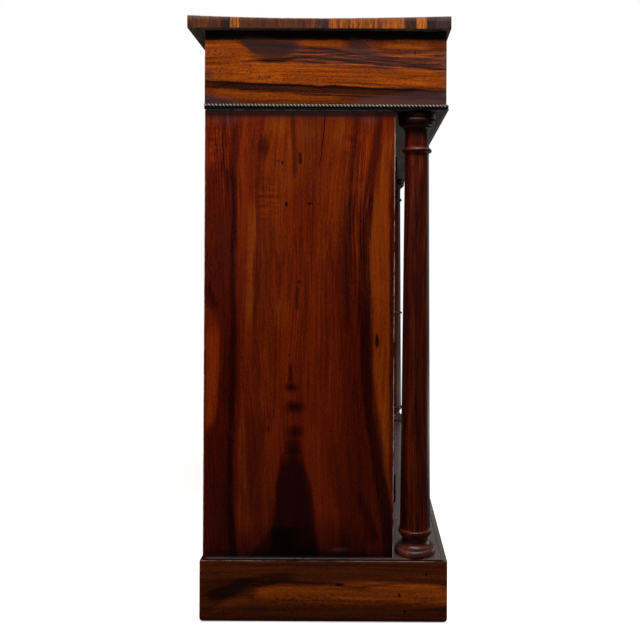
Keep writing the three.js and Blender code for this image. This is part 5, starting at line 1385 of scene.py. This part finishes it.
@dataclass
class Board:
    """A flat board of the frame with softened arrises and a finish for each way it faces.

    Args:
        node: the frame's node.
        finish: the finish of every face not named below.
        faces: finishes of the faces that look one way.
        arris: how far its arrises are rounded in mm.
        foot: how far the lower edges of its shown faces are worn round in mm.
        shortest: edges shorter than this stay sharp, in mm.
    """

    node: str
    finish: Finish
    faces: Dict[Facing, Finish] = field(default_factory=dict)
    arris: float = 0.7
    foot: float = 0.0
    shortest: float = 9.0

    def build(self) -> Piece:
        """Builds and dresses the board.

        Returns:
            The piece.
        """
        bm = open_node(self.node)
        if self.foot:
            self.round_foot(bm)
        soften(bm, self.arris, self.shortest)
        return self.dress(bm)

    def round_foot(self, bm: Mesh) -> None:
        """Rounds the lower edges of the shown faces, where brooms and feet have rubbed them.

        Args:
            bm: the board's geometry.
        """
        ways = [Vector(facing.value) for facing in self.faces if facing is not Facing.UP]
        edges = [
            e
            for e in bm.edges
            if len(e.link_faces) == 2
            and min(f.normal.z for f in e.link_faces) < -SQUARE
            and any(f.normal.dot(way) > SQUARE for f in e.link_faces for way in ways)
        ]
        bevel(bm, edges, self.foot, 4, False)

    def dress(self, bm: Mesh) -> Piece:
        """Gives each face the finish of the side that it looks to, and the mesh the node's place.

        Args:
            bm: the board's geometry.

        Returns:
            The piece.
        """
        ways = [Vector(facing.value) for facing in self.faces]
        bmesh.ops.recalc_face_normals(bm, faces=bm.faces)
        for face in bm.faces:
            best = max(range(len(ways)), key=lambda i: face.normal.dot(ways[i])) if ways else -1
            close = ways and face.normal.dot(ways[best]) > SHOWN
            face.material_index = best + 1 if close else 0
        return look_of(bm, self.node, [self.finish, *self.faces.values()], False)


@dataclass
class TopBoard(Board):
    """The top, whose ends' upper arrises have worn hollow between their corners.

    The hollow and its reach from the end are in mm. Its lowest place is a share of the depth from
    the back, the end's cuts are shares of the reach, and worn_and_highlight_from is a share of the thickness.
    """

    arris: float = 1.1
    shortest: float = 0.0
    arris_steps: int = 3
    hollow: float = 4.1
    reach: float = 34.0
    lowest: float = 0.46
    cuts: int = 28
    end_cuts: Tuple[float, ...] = (0.06, 0.15, 0.3, 0.5, 0.75, 1.0)
    worn_and_highlight_from: float = 0.6

    def build(self) -> Piece:
        """Cuts the board finely, softens it, and wears its ends hollow.

        Returns:
            The piece.
        """
        bm = open_node(self.node)
        low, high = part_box(self.node)
        for i in range(1, self.cuts):
            cut(bm, Vector((0, low.y + (high.y - low.y) * i / self.cuts, 0)), ALONG_Y)
        for side in (-1, 1):
            for share in self.end_cuts:
                cut(bm, Vector((side * (high.x - self.reach * MM * share), 0, 0)), ALONG_X)
        soften(bm, self.arris, self.shortest, self.arris_steps)
        thick = high.z - low.z
        # Only the upper arrises keep the pale mark: wear, and a painted highlight where light catches them.
        mark = bm.faces.layers.float[ARRIS]
        for face in bm.faces:
            if face.calc_center_median().z < low.z + self.worn_and_highlight_from * thick:
                face[mark] = 0.0
        bend = math.log(0.5) / math.log(self.lowest)
        for vert in bm.verts:
            t = min(1.0, max(0.0, (high.y - vert.co.y) / (high.y - low.y)))
            dip = math.sin(math.pi * t**bend)
            near = min(1.0, max(0.0, (abs(vert.co.x) - high.x + self.reach * MM) / (self.reach * MM)))
            share = max(0.0, (vert.co.z - low.z) / thick) ** 2
            vert.co.z -= self.hollow * MM * dip * near * near * share
        return self.dress(bm)


@dataclass
class TurnedColumn:
    """A free-standing column: its base ring, its tapering shaft with rings, and its capital.

    Sizes are in mm, radii across and heights along the axis, from the foot up, and agree with the
    frame's column. A name with _height is that moulding's height, the name alone its radius.
    """

    side: str
    plinth_top: float = 94.0
    frieze: float = 775.0
    bore: float = 7.8
    torus_foot: float = 30.0
    torus: float = 31.5
    torus_height: float = 10.5
    torus_equator: float = 4.0
    base_fillet: float = 27.0
    base_fillet_height: float = 2.0
    scotia: float = 19.8
    scotia_height: float = 9.5
    ring_rise: float = 6.2
    ring_fillet: float = 23.5
    ring_fillet_height: float = 2.0
    ring: float = 26.0
    ring_height: float = 7.5
    lip: float = 1.2
    foot: float = 23.4
    head: float = 18.7
    apophyge: float = 8.0
    neck_ring: float = 23.0
    neck_ring_round: float = 2.0
    neck_ring_rise: float = 0.5
    neck_ring_height: float = 6.5
    neck_fillet: float = 19.4
    neck_fillet_height: float = 2.2
    neck: float = 18.6
    neck_height: float = 22.0
    cove: float = 22.6
    cove_height: float = 7.2
    capital_fillet: float = 23.4
    capital_fillet_height: float = 1.6
    ovolo: float = 28.9
    ovolo_height: float = 8.3
    quirk: float = 28.0
    quirk_height: float = 2.5
    disc: float = 29.8
    disc_height: float = 10.0
    disc_rim: float = 1.0
    disc_round: float = 0.8

    def build(self) -> List[Piece]:
        """Turns the base and the shaft.

        Returns:
            The two pieces.
        """
        low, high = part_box(f"column_{self.side}_base")
        centre = (low + high) / 2
        axis = Vector((centre.x, centre.y, 0))
        made = []
        for part, outline in (("base", self.base()), ("shaft", self.shaft())):
            bm = turn(outline, axis, UPWARD)
            mark = bm.faces.layers.float.new(ARRIS)
            for edge in bm.edges:
                for face in edge.link_faces if is_arris(edge) else ():
                    if face.calc_area() < WORN_AREA:
                        face[mark] = 1.0
            made.append(look_of(bm, f"column_{self.side}_{part}", [COLUMN_WOOD], True))
        return made

    def base(self) -> List[Point]:
        """Draws the base's outline: torus, fillet and scotia.

        Returns:
            Radii and heights in mm.
        """
        z = self.plinth_top
        torus_top = z + self.torus_height
        fillet_top = torus_top + self.base_fillet_height
        top = fillet_top + self.scotia_height
        return [
            (self.bore, z), (self.torus_foot, z),
            *sweep((self.torus_foot, z), (self.torus, z + self.torus_equator), True),
            *sweep((self.torus, z + self.torus_equator), (self.base_fillet, torus_top), False),
            (self.base_fillet, fillet_top), *sweep((self.base_fillet, fillet_top), (self.scotia, top), True),
            (self.bore, top), (self.bore, z),
        ]

    def shaft(self) -> List[Point]:
        """Draws the shaft's outline from its lower ring to the capital's disc.

        Returns:
            Radii and heights in mm.
        """
        base_top = self.plinth_top + self.torus_height + self.base_fillet_height + self.scotia_height
        fillet_low = base_top + self.ring_rise
        ring_low = fillet_low + self.ring_fillet_height
        ring_top = ring_low + self.ring_height
        ring_middle = (ring_low + ring_top) / 2
        shaft_low = ring_top + self.apophyge
        disc_low = self.frieze - self.disc_height
        ovolo_top = disc_low - self.disc_rim - self.quirk_height
        ovolo_low = ovolo_top - self.ovolo_height
        cove_top = ovolo_low - self.capital_fillet_height
        capital_low = cove_top - self.cove_height
        neck_low = capital_low - self.neck_height
        neck_top = neck_low - self.neck_fillet_height
        neck_ring_low = neck_top - self.neck_ring_height
        neck_middle = (neck_top + neck_ring_low) / 2
        neck_ring_foot = (self.neck_ring - self.neck_ring_round, neck_ring_low + self.neck_ring_rise)
        shaft_top = neck_ring_low - self.apophyge / 2
        corner = self.disc - self.disc_round
        return [
            (0.0, base_top), (self.scotia, base_top),
            *sweep((self.scotia, base_top), (self.ring_fillet, fillet_low), False),
            (self.ring_fillet, ring_low), *sweep((self.ring_fillet, ring_low), (self.ring, ring_middle), True),
            *sweep((self.ring, ring_middle), (self.foot + self.lip, ring_top), False),
            *sweep((self.foot + self.lip, ring_top), (self.foot, shaft_low), True, 5), (self.head, shaft_top),
            *sweep((self.head, shaft_top), (self.head + self.lip, neck_ring_low), False, 4), neck_ring_foot,
            *sweep(neck_ring_foot, (self.neck_ring, neck_middle), True, 5),
            *sweep((self.neck_ring, neck_middle), (self.neck_fillet, neck_top), False, 5),
            (self.neck_fillet, neck_low), (self.neck, neck_low), (self.neck, capital_low),
            *sweep((self.neck, capital_low), (self.cove, cove_top), False), (self.capital_fillet, cove_top),
            (self.capital_fillet, ovolo_low),
            *sweep((self.capital_fillet, ovolo_low), (self.ovolo, ovolo_top), True),
            *sweep((self.ovolo, ovolo_top), (self.quirk, disc_low - self.disc_rim), False, 4),
            (self.quirk, disc_low), (corner, disc_low),
            *sweep((corner, disc_low), (self.disc, disc_low + self.disc_round), True, 3),
            (self.disc, self.frieze), (0.0, self.frieze),
        ]


@dataclass
class RopeMoulding:
    """The carved rope along the frieze's foot: two strands, cut flat where it meets the frieze.

    The lay is the length of one whole twist, which shows two beads. It, the fillet below the rope,
    the spare length at a run's ends and the pale spots on the crests, worn and painted as glints, are
    in mm. The groove's depth is a share of the radius. A smaller strand is fuller, and a larger crest
    fades sooner.
    """

    node: str = "rope_moulding"
    lay: float = 10.8
    groove: float = 0.34
    strand: float = 0.75
    crest: float = 3.4
    fillet: float = 1.5
    steps: int = 12
    points: int = 16
    spare: float = 3.0
    wear_and_glint_above: float = 0.9
    wear_and_glint_half: float = 2.3

    def build(self) -> Piece:
        """Twists one rope for the front and two for the ends, mitres them, and joins them.

        Returns:
            The piece.
        """
        low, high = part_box(self.node)
        end_low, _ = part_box("frieze_end_left")
        crown = low.z + self.fillet * MM
        radius = (high.z - crown) / 2
        height = (high.z + crown) / 2
        proud = end_low.x - low.x
        inset = radius - proud
        face_x, face_y = abs(end_low.x), end_low.y
        whole = open_node(self.node)
        trim(whole, Vector((0, 0, crown)), UPWARD)
        whole.verts.layers.float.new(ARRIS)
        front = self.run(2 * (face_x + proud) + 2 * self.spare * MM, radius, inset)
        front.transform(Matrix.Translation((0, face_y + inset, height)))
        for side in (-1, 1):
            trim(front, Vector((side * face_x, face_y, 0)), Vector((side, 1, 0)))
        join(whole, front)
        for side in (-1, 1):
            run = self.run(high.y - face_y + proud + self.spare * MM, radius, inset)
            run.transform(Matrix.Rotation(side * math.pi / 2, 4, "Z"))
            middle = (high.y + face_y - proud - self.spare * MM) / 2
            run.transform(Matrix.Translation((side * (face_x - inset), middle, height)))
            trim(run, Vector((side * face_x, face_y, 0)), Vector((-side, -1, 0)))
            trim(run, Vector((0, high.y, 0)), ALONG_Y)
            join(whole, run)
        # The pale marks on the crests are kept to a band a little above the rope's middle: painted glints, and wear.
        mark = whole.verts.layers.float[ARRIS]
        for vert in whole.verts:
            away = abs(vert.co.z - height - self.wear_and_glint_above * MM) / (self.wear_and_glint_half * MM)
            vert[mark] *= max(0.0, 1.0 - away) ** 0.5
        return look_of(whole, self.node, [ROPE_WOOD], True)

    def run(self, length: float, radius: float, inset: float) -> Mesh:
        """Twists one straight rope along X about the origin, cut flat behind.

        Args:
            length: its length in metres.
            radius: its radius in metres.
            inset: how far behind its middle it is cut, in metres.

        Returns:
            The rope.
        """
        bm = bmesh.new()
        bmesh.ops.create_circle(bm, segments=self.points, radius=radius)
        mark = bm.verts.layers.float.new(ARRIS)
        for vert in bm.verts:
            lobe = abs(math.cos(math.atan2(vert.co.y, vert.co.x))) ** self.strand
            vert.co *= 1 - self.groove * (1 - lobe)
            # Each strand's crest is marked pale: wear, and a painted glint.
            vert[mark] = max(0.0, lobe * self.crest - (self.crest - 1))
        bm.transform(Matrix.Translation((-length / 2, 0, 0)) @ Matrix.Rotation(math.pi / 2, 4, "Y"))
        turns = length / (self.lay * MM)
        steps = max(2, round(turns * self.steps))
        bmesh.ops.spin(
            bm, geom=[*bm.verts, *bm.edges], cent=(0, 0, 0), axis=ALONG_X, dvec=(length / steps, 0, 0),
            angle=2 * math.pi * turns, steps=steps,
        )
        trim(bm, Vector((0, -inset, 0)), ALONG_Y)
        return bm


@dataclass
class Knob:
    """A turned wooden knob: a collar at the drawer, a hollow neck and a domed face.

    Each place is a share of the radius, and of the reach from the drawer.
    """

    node: str
    collar: Point = (0.62, 0.0)
    collar_top: Point = (0.5952, 0.1)
    neck_low: Point = (0.42, 0.26)
    neck_high: Point = (0.42, 0.3)
    bulge: Point = (1.0, 0.62)
    rim: Point = (0.86, 0.86)
    dome: Point = (0.8, 0.86)
    segments: int = 64

    def build(self) -> Piece:
        """Turns the knob.

        Returns:
            The piece.
        """
        low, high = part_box(self.node)
        front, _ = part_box(self.node.replace("_knob", "_front"))
        radius = (high.x - low.x) / 2 / MM
        reach = (front.y - low.y) / MM
        marks = (self.collar, self.collar_top, self.neck_low, self.neck_high, self.bulge, self.rim, self.dome)
        collar, collar_top, neck_low, neck_high, bulge, rim, dome = [(r * radius, z * reach) for r, z in marks]
        outline = [
            (0.0, 0.0), collar, *sweep(collar, collar_top, True, 3), *sweep(collar_top, neck_low, True, 6),
            *sweep(neck_high, bulge, False, 8), *sweep(bulge, rim, False, 6), dome,
            *sweep(dome, (0.0, reach), False, 8),
        ]
        centre = Vector(((low.x + high.x) / 2, front.y, (low.z + high.z) / 2))
        return look_of(turn(outline, centre, FORWARD, self.segments), self.node, [COLUMN_WOOD], True)


@dataclass
class Fitting:
    """A piece of metal of the frame, its edges eased and its metal aged; sizes in mm."""

    node: str
    finish: MetalFinish
    arris: float = 0.25
    shortest: float = 1.5

    def build(self) -> Piece:
        """Eases the piece's edges.

        Returns:
            The piece.
        """
        bm = open_node(self.node)
        soften(bm, self.arris, self.shortest)
        return look_of(bm, self.node, [self.finish], True)


@dataclass
class Screws:
    """The countersunk heads of one leaf's screws, each with its slot.

    Places are in metres and sizes in mm. The slot's depth is a share of the rise, and each slot is
    turned a little further than the one before, in radians.
    """

    name: str
    body: str
    at: Tuple[Vector, ...]
    facing: Vector
    radius: float = 2.6
    rise: float = 0.25
    slot_width: float = 0.6
    slot_depth: float = 0.8
    sunk: float = 0.3
    first_turn: float = 0.7
    next_turn: float = 1.3
    segments: int = 20
    finish: MetalFinish = IRON

    def build(self) -> Piece:
        """Builds every head.

        Returns:
            All of them as one piece.
        """
        whole = bmesh.new()
        turn_to = self.facing.to_track_quat("Z", "Y").to_matrix().to_4x4()
        for i, place in enumerate(self.at):
            head = self.head()
            spin = Matrix.Rotation(self.first_turn + self.next_turn * i, 4, "Z")
            head.transform(Matrix.Translation(place) @ turn_to @ spin)
            join(whole, head)
        return piece_from(whole, self.name, self.body, [self.finish], False)

    def head(self) -> Mesh:
        """Builds one slotted head that looks up, at the origin.

        Returns:
            The geometry.
        """
        head = bmesh.new()
        bmesh.ops.create_circle(head, cap_ends=True, segments=self.segments, radius=self.radius * MM)
        raised = self.extrude(head, head.faces[:])
        bmesh.ops.translate(head, verts=raised, vec=(0, 0, (self.rise + self.sunk) * MM))
        bmesh.ops.translate(head, verts=head.verts, vec=(0, 0, -self.sunk * MM))
        half = self.slot_width * MM / 2
        for side in (-half, half):
            cut(head, Vector((0, side, 0)), ALONG_Y, FINE_CUT_DISTANCE)
        groove = [f for f in head.faces if f.normal.z > 0.5 and abs(f.calc_center_median().y) < half]
        dug = self.extrude(head, groove)
        bmesh.ops.translate(head, verts=dug, vec=(0, 0, -self.rise * MM * self.slot_depth))
        bmesh.ops.delete(head, geom=groove, context="FACES")
        return head

    @staticmethod
    def extrude(bm: Mesh, faces: Sequence[bmesh.types.BMFace]) -> List[bmesh.types.BMVert]:
        """Extrudes faces and returns the new corners, not yet moved."""
        made = bmesh.ops.extrude_face_region(bm, geom=faces)
        return [v for v in made["geom"] if isinstance(v, bmesh.types.BMVert)]


@dataclass
class Carcase:
    """Plinth, sides, stiles, back, shelf, frieze and top; roundings in mm."""

    plinth_arris: float = 1.2
    plinth_foot: float = 8.0
    shelf_arris: float = 1.0
    stile_arris: float = 0.8
    frieze_arris: float = 0.6

    def build(self) -> None:
        """Builds every board, the moulding and the columns of the fixed part."""
        front = {Facing.FRONT: FRONT_VENEER}
        plinth_front = {Facing.UP: PLATFORM_WOOD, Facing.FRONT: PLINTH_FRONT_VENEER}
        boards = [
            Board("plinth_front", PINE_WOOD, plinth_front, self.plinth_arris, self.plinth_foot),
            Board("plinth_back", PINE_WOOD, {Facing.BACK: PINE_WOOD}, foot=self.plinth_foot),
            Board("platform", PINE_WOOD, {Facing.UP: PLATFORM_WOOD, Facing.FRONT: PLATFORM_WOOD}),
            Board("back_panel", PINE_UPRIGHT_WOOD), Board("shelf", INNER_WOOD, front, self.shelf_arris),
            Board("frieze_bottom_rail", SOFFIT_WOOD, front),
            Board("dustboard", PINE_WOOD, {Facing.DOWN: SOFFIT_WOOD}),
            Board("frieze_divider", PINE_LINING_WOOD, {Facing.FRONT: UPRIGHT_VENEER}),
            Board("frieze_top_rail", PINE_WOOD, front),
        ]
        for side, out in zip(SIDES, (Facing.LEFT, Facing.RIGHT)):
            plinth = {Facing.BACK: PINE_WOOD, Facing.UP: PLINTH_TOP_PAINTED_SHADE_WOOD, out: PLINTH_VENEER}
            panel = {out: SIDE_VENEER, Facing.FRONT: SIDE_VENEER}
            stile = {Facing.FRONT: UPRIGHT_VENEER}
            frieze = {Facing.DOWN: SOFFIT_WOOD, Facing.FRONT: FRONT_VENEER, out: FRIEZE_VENEER}
            boards += [
                Board(f"plinth_end_{side}", PINE_LINING_WOOD, plinth, self.plinth_arris, self.plinth_foot),
                Board(f"side_panel_{side}", INNER_UPRIGHT_WOOD, panel, self.plinth_arris),
                Board(f"front_stile_{side}", INNER_UPRIGHT_WOOD, stile, self.stile_arris),
                Board(f"frieze_end_{side}", PINE_LINING_WOOD, frieze, self.frieze_arris),
            ]
        boards.append(TopBoard("top_board", EDGE_BAND, {Facing.DOWN: SOFFIT_WOOD, Facing.UP: TOP_VENEER}))
        for board in boards:
            board.build()
        RopeMoulding().build()
        for side in SIDES:
            TurnedColumn(side).build()


@dataclass
class Door:
    """A framed door with its fielded panel; roundings in mm."""

    side: str
    frame_arris: float = 0.8
    panel_arris: float = 0.5

    def build(self) -> None:
        """Builds the frame and the panel."""
        for part in ("hinge_stile", "meeting_stile"):
            self.part(part, INNER_UPRIGHT_WOOD, UPRIGHT_VENEER, self.frame_arris)
        for part in ("bottom_rail", "top_rail"):
            self.part(part, INNER_WOOD, FRONT_VENEER, self.frame_arris)
        self.part("panel", INNER_UPRIGHT_WOOD, PANEL_VENEER, self.panel_arris)

    def part(self, name: str, inside: WoodFinish, front: WoodFinish, arris: float) -> None:
        """Builds one board of the door, veneered on its front."""
        Board(f"door_{self.side}_{name}", inside, {Facing.FRONT: front}, arris).build()


@dataclass
class Drawer:
    """A frieze drawer: veneered front, dovetailed linings and a turned knob; roundings in mm.

    Edges shorter than the dovetail's width stay sharp.
    """

    side: str
    front_arris: float = 0.8
    lining_arris: float = 0.5
    bottom_arris: float = 0.4
    dovetail: float = 14.0

    def build(self) -> None:
        """Builds the drawer's boards and knob."""
        name = f"drawer_{self.side}"
        face = {Facing.FRONT: FRONT_VENEER}
        Board(f"{name}_front", PINE_WOOD, face, self.front_arris, shortest=self.dovetail).build()
        for part in ("left_side", "right_side"):
            Board(f"{name}_{part}", PINE_LINING_WOOD, arris=self.lining_arris, shortest=self.dovetail).build()
        Board(f"{name}_back", PINE_WOOD, arris=self.lining_arris).build()
        Board(f"{name}_bottom", PINE_WOOD, arris=self.bottom_arris).build()
        Knob(f"{name}_knob").build()


@dataclass
class Escutcheon:
    """The thin turned brass ring round the keyhole, with the key's shank through it.

    Sizes are in mm. The rim's thickness and the crown's radius are shares of the whole ones.
    """

    bore: float = 3.0
    rim: float = 6.5
    thick: float = 0.9
    sunk: float = 0.5
    rim_thick: float = 0.4
    crown: float = 0.82
    flat: float = 0.4
    ease: float = 0.3
    segments: int = 48

    def build(self) -> Piece:
        """Turns the ring.

        Returns:
            The piece.
        """
        low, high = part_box("key")
        face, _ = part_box("door_right_meeting_stile")
        centre = Vector(((low.x + high.x) / 2, face.y, (low.z + high.z) / 2))
        edge = (self.rim, self.thick * self.rim_thick)
        outline = [
            (self.bore, -self.sunk), (self.rim, -self.sunk), edge,
            *sweep(edge, (self.rim * self.crown, self.thick), True, 5), (self.bore + self.flat, self.thick),
            (self.bore, self.thick - self.ease), (self.bore, -self.sunk),
        ]
        bm = turn(outline, centre, FORWARD, self.segments)
        return piece_from(bm, "escutcheon", body_of_node("lock_case"), [BRASS], True)


@dataclass
class Ironmongery:
    """Hinges with their screws, the lock with its key, and the two door bolts; sizes in mm.

    A hinge's screws are given by height above its middle and place across its leaf, the others by
    how far they stand in from their plate's sides and ends.
    """

    leaf_screws: Tuple[Point, ...] = ((-13.0, 11.5), (0.0, 8.5), (13.0, 11.5))
    leaf_back: float = 17.0
    leaf_gap: float = 0.2
    leaf_head: float = 1.9
    leaf_rise: float = 0.12
    bolt_screws: Point = (3.0, 26.0)
    bolt_head: float = 1.8
    bolt_plate: float = 1.5
    lock_screws: Point = (6.0, 5.0)
    lock_head: float = 2.2
    key_arris: float = 0.2
    key_shortest: float = 0.8

    def build(self) -> None:
        """Ages every fitting and adds the screws and the escutcheon."""
        for side, outward in zip(SIDES, (-1, 1)):
            for height in ("lower", "upper"):
                self.leaf(f"hinge_{side}_{height}_fixed", outward)
                self.leaf(f"hinge_{side}_{height}_moving", -outward)
        for node in ("lock_case", "lock_bolt"):
            Fitting(node, IRON).build()
        Fitting("key", IRON, self.key_arris, self.key_shortest).build()
        for end in ("top", "bottom"):
            plate = f"door_bolt_plate_{end}"
            Fitting(f"door_bolt_{end}", BRASS).build()
            Fitting(plate, BRASS).build()
            low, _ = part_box(plate)
            self.back_screws(plate, self.bolt_screws, self.bolt_head, low.y + self.bolt_plate * MM)
        _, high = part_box("lock_case")
        self.back_screws("lock_case", self.lock_screws, self.lock_head, high.y)
        Escutcheon().build()

    def leaf(self, node: str, side: int) -> None:
        """Ages one leaf of a hinge and sets its three countersunk screws.

        Args:
            node: the leaf's node.
            side: -1 for a leaf on the left of its hinge, 1 for one on the right.
        """
        Fitting(node, BRASS).build()
        low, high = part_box(node)
        x = (low.x + high.x) / 2 + side * self.leaf_gap * MM
        at = tuple(
            Vector((x, high.y - (self.leaf_back - across) * MM, (low.z + high.z) / 2 + up * MM))
            for up, across in self.leaf_screws
        )
        facing = Vector((-side, 0, 0))
        Screws(node + "_screws", body_of_node(node), at, facing, self.leaf_head, self.leaf_rise).build()

    def back_screws(self, node: str, inset: Point, radius: float, y: float) -> None:
        """Sets four screws in the back of a plate.

        Args:
            node: the plate's node.
            inset: how far they stand in from its sides and ends, in mm.
            radius: radius of a head in mm.
            y: where the plate's back lies, in metres.
        """
        low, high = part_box(node)
        at = tuple(
            Vector((x, y, z))
            for x in (low.x + inset[0] * MM, high.x - inset[0] * MM)
            for z in (low.z + inset[1] * MM, high.z - inset[1] * MM)
        )
        Screws(node + "_screws", body_of_node(node), at, ALONG_Y, radius).build()


@dataclass(frozen=True)
class SoftBox:
    """One soft box: its place, its aim and its size in mm, its power in watts.

    A box that isn't mirrored doesn't show in polished parts.
    """

    name: str
    at: Place
    aim: Place
    size: Point
    power: float
    mirrored: bool = True

    def hang(self) -> None:
        """Hangs the box where it belongs."""
        data = bpy.data.lights.new(self.name, "AREA")
        data.shape = "RECTANGLE"
        data.size, data.size_y = self.size[0] * MM, self.size[1] * MM
        data.energy = self.power
        made = bpy.data.objects.new(self.name, data)
        bpy.context.scene.collection.objects.link(made)
        place = Vector(self.at) * MM
        way = Vector(self.aim) * MM - place
        made.matrix_world = Matrix.Translation(place) @ way.to_track_quat("-Z", "Y").to_matrix().to_4x4()
        made.visible_camera = False
        made.visible_glossy = self.mirrored


@dataclass
class Studio:
    """Camera, lights, floor and background.

    Args:
        eye: the camera's place in mm.
        focal: focal length in pixels of a picture 640 wide.
        centre: where the camera looks in that picture, in pixels from its upper left corner.
        roll: how far the camera leans, in degrees.
        clip: nearest and furthest distance that it sees, in metres.
        boxes: a long soft box high at the near end, weaker ones over the front and the far end.
        fade: where the floor begins to fade into the background, and has faded, in metres.
        fill: how bright the background is to the object's matt and to its polished parts.
    """

    eye: Place = (-1582.0, -63.5, 548.4)
    focal: float = 718.0
    centre: Point = (365.9, 259.2)
    roll: float = 0.3
    picture: float = 640.0
    sensor: float = 36.0
    clip: Point = (0.05, 60.0)
    boxes: Tuple[SoftBox, ...] = (
        SoftBox("Key soft box", (-1120, -120, 1980), (-480, 0, 640), (1400, 360), 44),
        SoftBox("Front card", (1100, -2300, 650), (0, -150, 450), (1000, 1100), 5),
        SoftBox("Near card", (-1500, 500, 620), (-490, 0, 780), (600, 500), 2.8, False),
        SoftBox("Front soft box", (200, -900, 2300), (100, 0, 600), (1200, 800), 14),
        SoftBox("Far card", (2300, -100, 520), (450, -100, 500), (1500, 1100), 3),
        SoftBox("Far soft box", (2200, 600, 1900), (450, 0, 500), (1200, 1200), 14),
        SoftBox("Low card", (300, -800, 20), (200, -150, 775), (1000, 400), 3),
    )
    fade: Point = (0.62, 1.25)
    fill: Point = (0.03, 0.015)

    def build(self) -> None:
        """Builds the whole studio."""
        self.camera()
        for box in self.boxes:
            box.hang()
        self.floor()
        self.background()
        bpy.context.scene.view_settings.view_transform = "Standard"

    def camera(self) -> None:
        """Places the camera level at the near end of the object."""
        data = bpy.data.cameras.new("Camera")
        data.sensor_width = self.sensor
        data.lens = self.focal / self.picture * self.sensor
        data.shift_x = (self.picture / 2 - self.centre[0]) / self.picture
        data.shift_y = (self.centre[1] - self.picture / 2) / self.picture
        data.clip_start, data.clip_end = self.clip
        camera = bpy.data.objects.new("Camera", data)
        bpy.context.scene.collection.objects.link(camera)
        camera.matrix_world = (
            Matrix.Translation(Vector(self.eye) * MM)
            @ Matrix.Rotation(-math.pi / 2, 4, "Z")
            @ Matrix.Rotation(math.pi / 2, 4, "X")
            @ Matrix.Rotation(math.radians(self.roll), 4, "Z")
        )
        bpy.context.scene.camera = camera

    def floor(self) -> None:
        """Lays a pale floor that keeps the object's shadow and fades into the white background."""
        bm = bmesh.new()
        bmesh.ops.create_circle(bm, cap_ends=True, segments=96, radius=9.0)
        mesh = bpy.data.meshes.new("Floor")
        bm.to_mesh(mesh)
        bm.free()
        made = bpy.data.objects.new("Floor", mesh)
        bpy.context.scene.collection.objects.link(made)
        made.data.materials.append(self.floor_material())

    def floor_material(self) -> Material:
        """Makes the floor's material: pale to the camera, dim to the object that it lights.

        Returns:
            The material.
        """
        bench = Bench("Pale studio floor")
        real = bench.real()
        away = bench.add("VectorMath", {0: real}, operation="LENGTH").outputs["Value"]
        far = bench.smooth(away, *self.fade)
        seen = bench.add("LightPath").outputs["Is Camera Ray"]
        tint = bench.mix(bench.tone(real, Pattern(240, 240, 3.0)), linear("f4f3f1"), linear("fbfaf9"))
        matt = bench.add("BsdfDiffuse", {"Color": tint})
        lift = bench.add("Emission", {"Color": WHITE, "Strength": 0.6})
        lit = bench.add("AddShader", {0: matt.outputs[0], 1: lift.outputs[0]})
        white = bench.add("Emission", {"Color": WHITE, "Strength": 1.0})
        near = bench.add("MixShader", {"Fac": far, 1: lit.outputs[0], 2: white.outputs[0]})
        mirrored = bench.add("LightPath").outputs["Is Glossy Ray"]
        unseen = bench.add("BsdfDiffuse", {"Color": bench.mix(mirrored, linear("5f5d5a"), linear("1c1b1a"))})
        shader = bench.add("MixShader", {"Fac": seen, 1: unseen.outputs[0], 2: near.outputs[0]})
        return bench.finish(shader.outputs[0])

    def background(self) -> None:
        """Makes the background white to the camera and dim to everything else."""
        world = bpy.data.worlds.new("Studio")
        bpy.context.scene.world = world
        world.use_nodes = True
        tree = world.node_tree
        tree.nodes.clear()
        path = tree.nodes.new("ShaderNodeLightPath")
        strength = tree.nodes.new("ShaderNodeMapRange")
        strength.inputs["To Max"].default_value = 1.0
        fill = tree.nodes.new("ShaderNodeMapRange")
        fill.inputs["To Min"].default_value, fill.inputs["To Max"].default_value = self.fill
        light = tree.nodes.new("ShaderNodeBackground")
        light.inputs["Color"].default_value = WHITE
        out = tree.nodes.new("ShaderNodeOutputWorld")
        tree.links.new(path.outputs["Is Glossy Ray"], fill.inputs["Value"])
        tree.links.new(fill.outputs[0], strength.inputs["To Min"])
        tree.links.new(path.outputs["Is Camera Ray"], strength.inputs["Value"])
        tree.links.new(strength.outputs[0], light.inputs["Strength"])
        tree.links.new(light.outputs[0], out.inputs["Surface"])


def main() -> None:
    """Builds the chiffonier and its studio."""
    logging.basicConfig(level=logging.INFO, format="%(message)s")
    Carcase().build()
    for side in SIDES:
        Door(side).build()
        Drawer(side).build()
    Ironmongery().build()
    Studio().build()


if __name__ == "__main__":
    main()
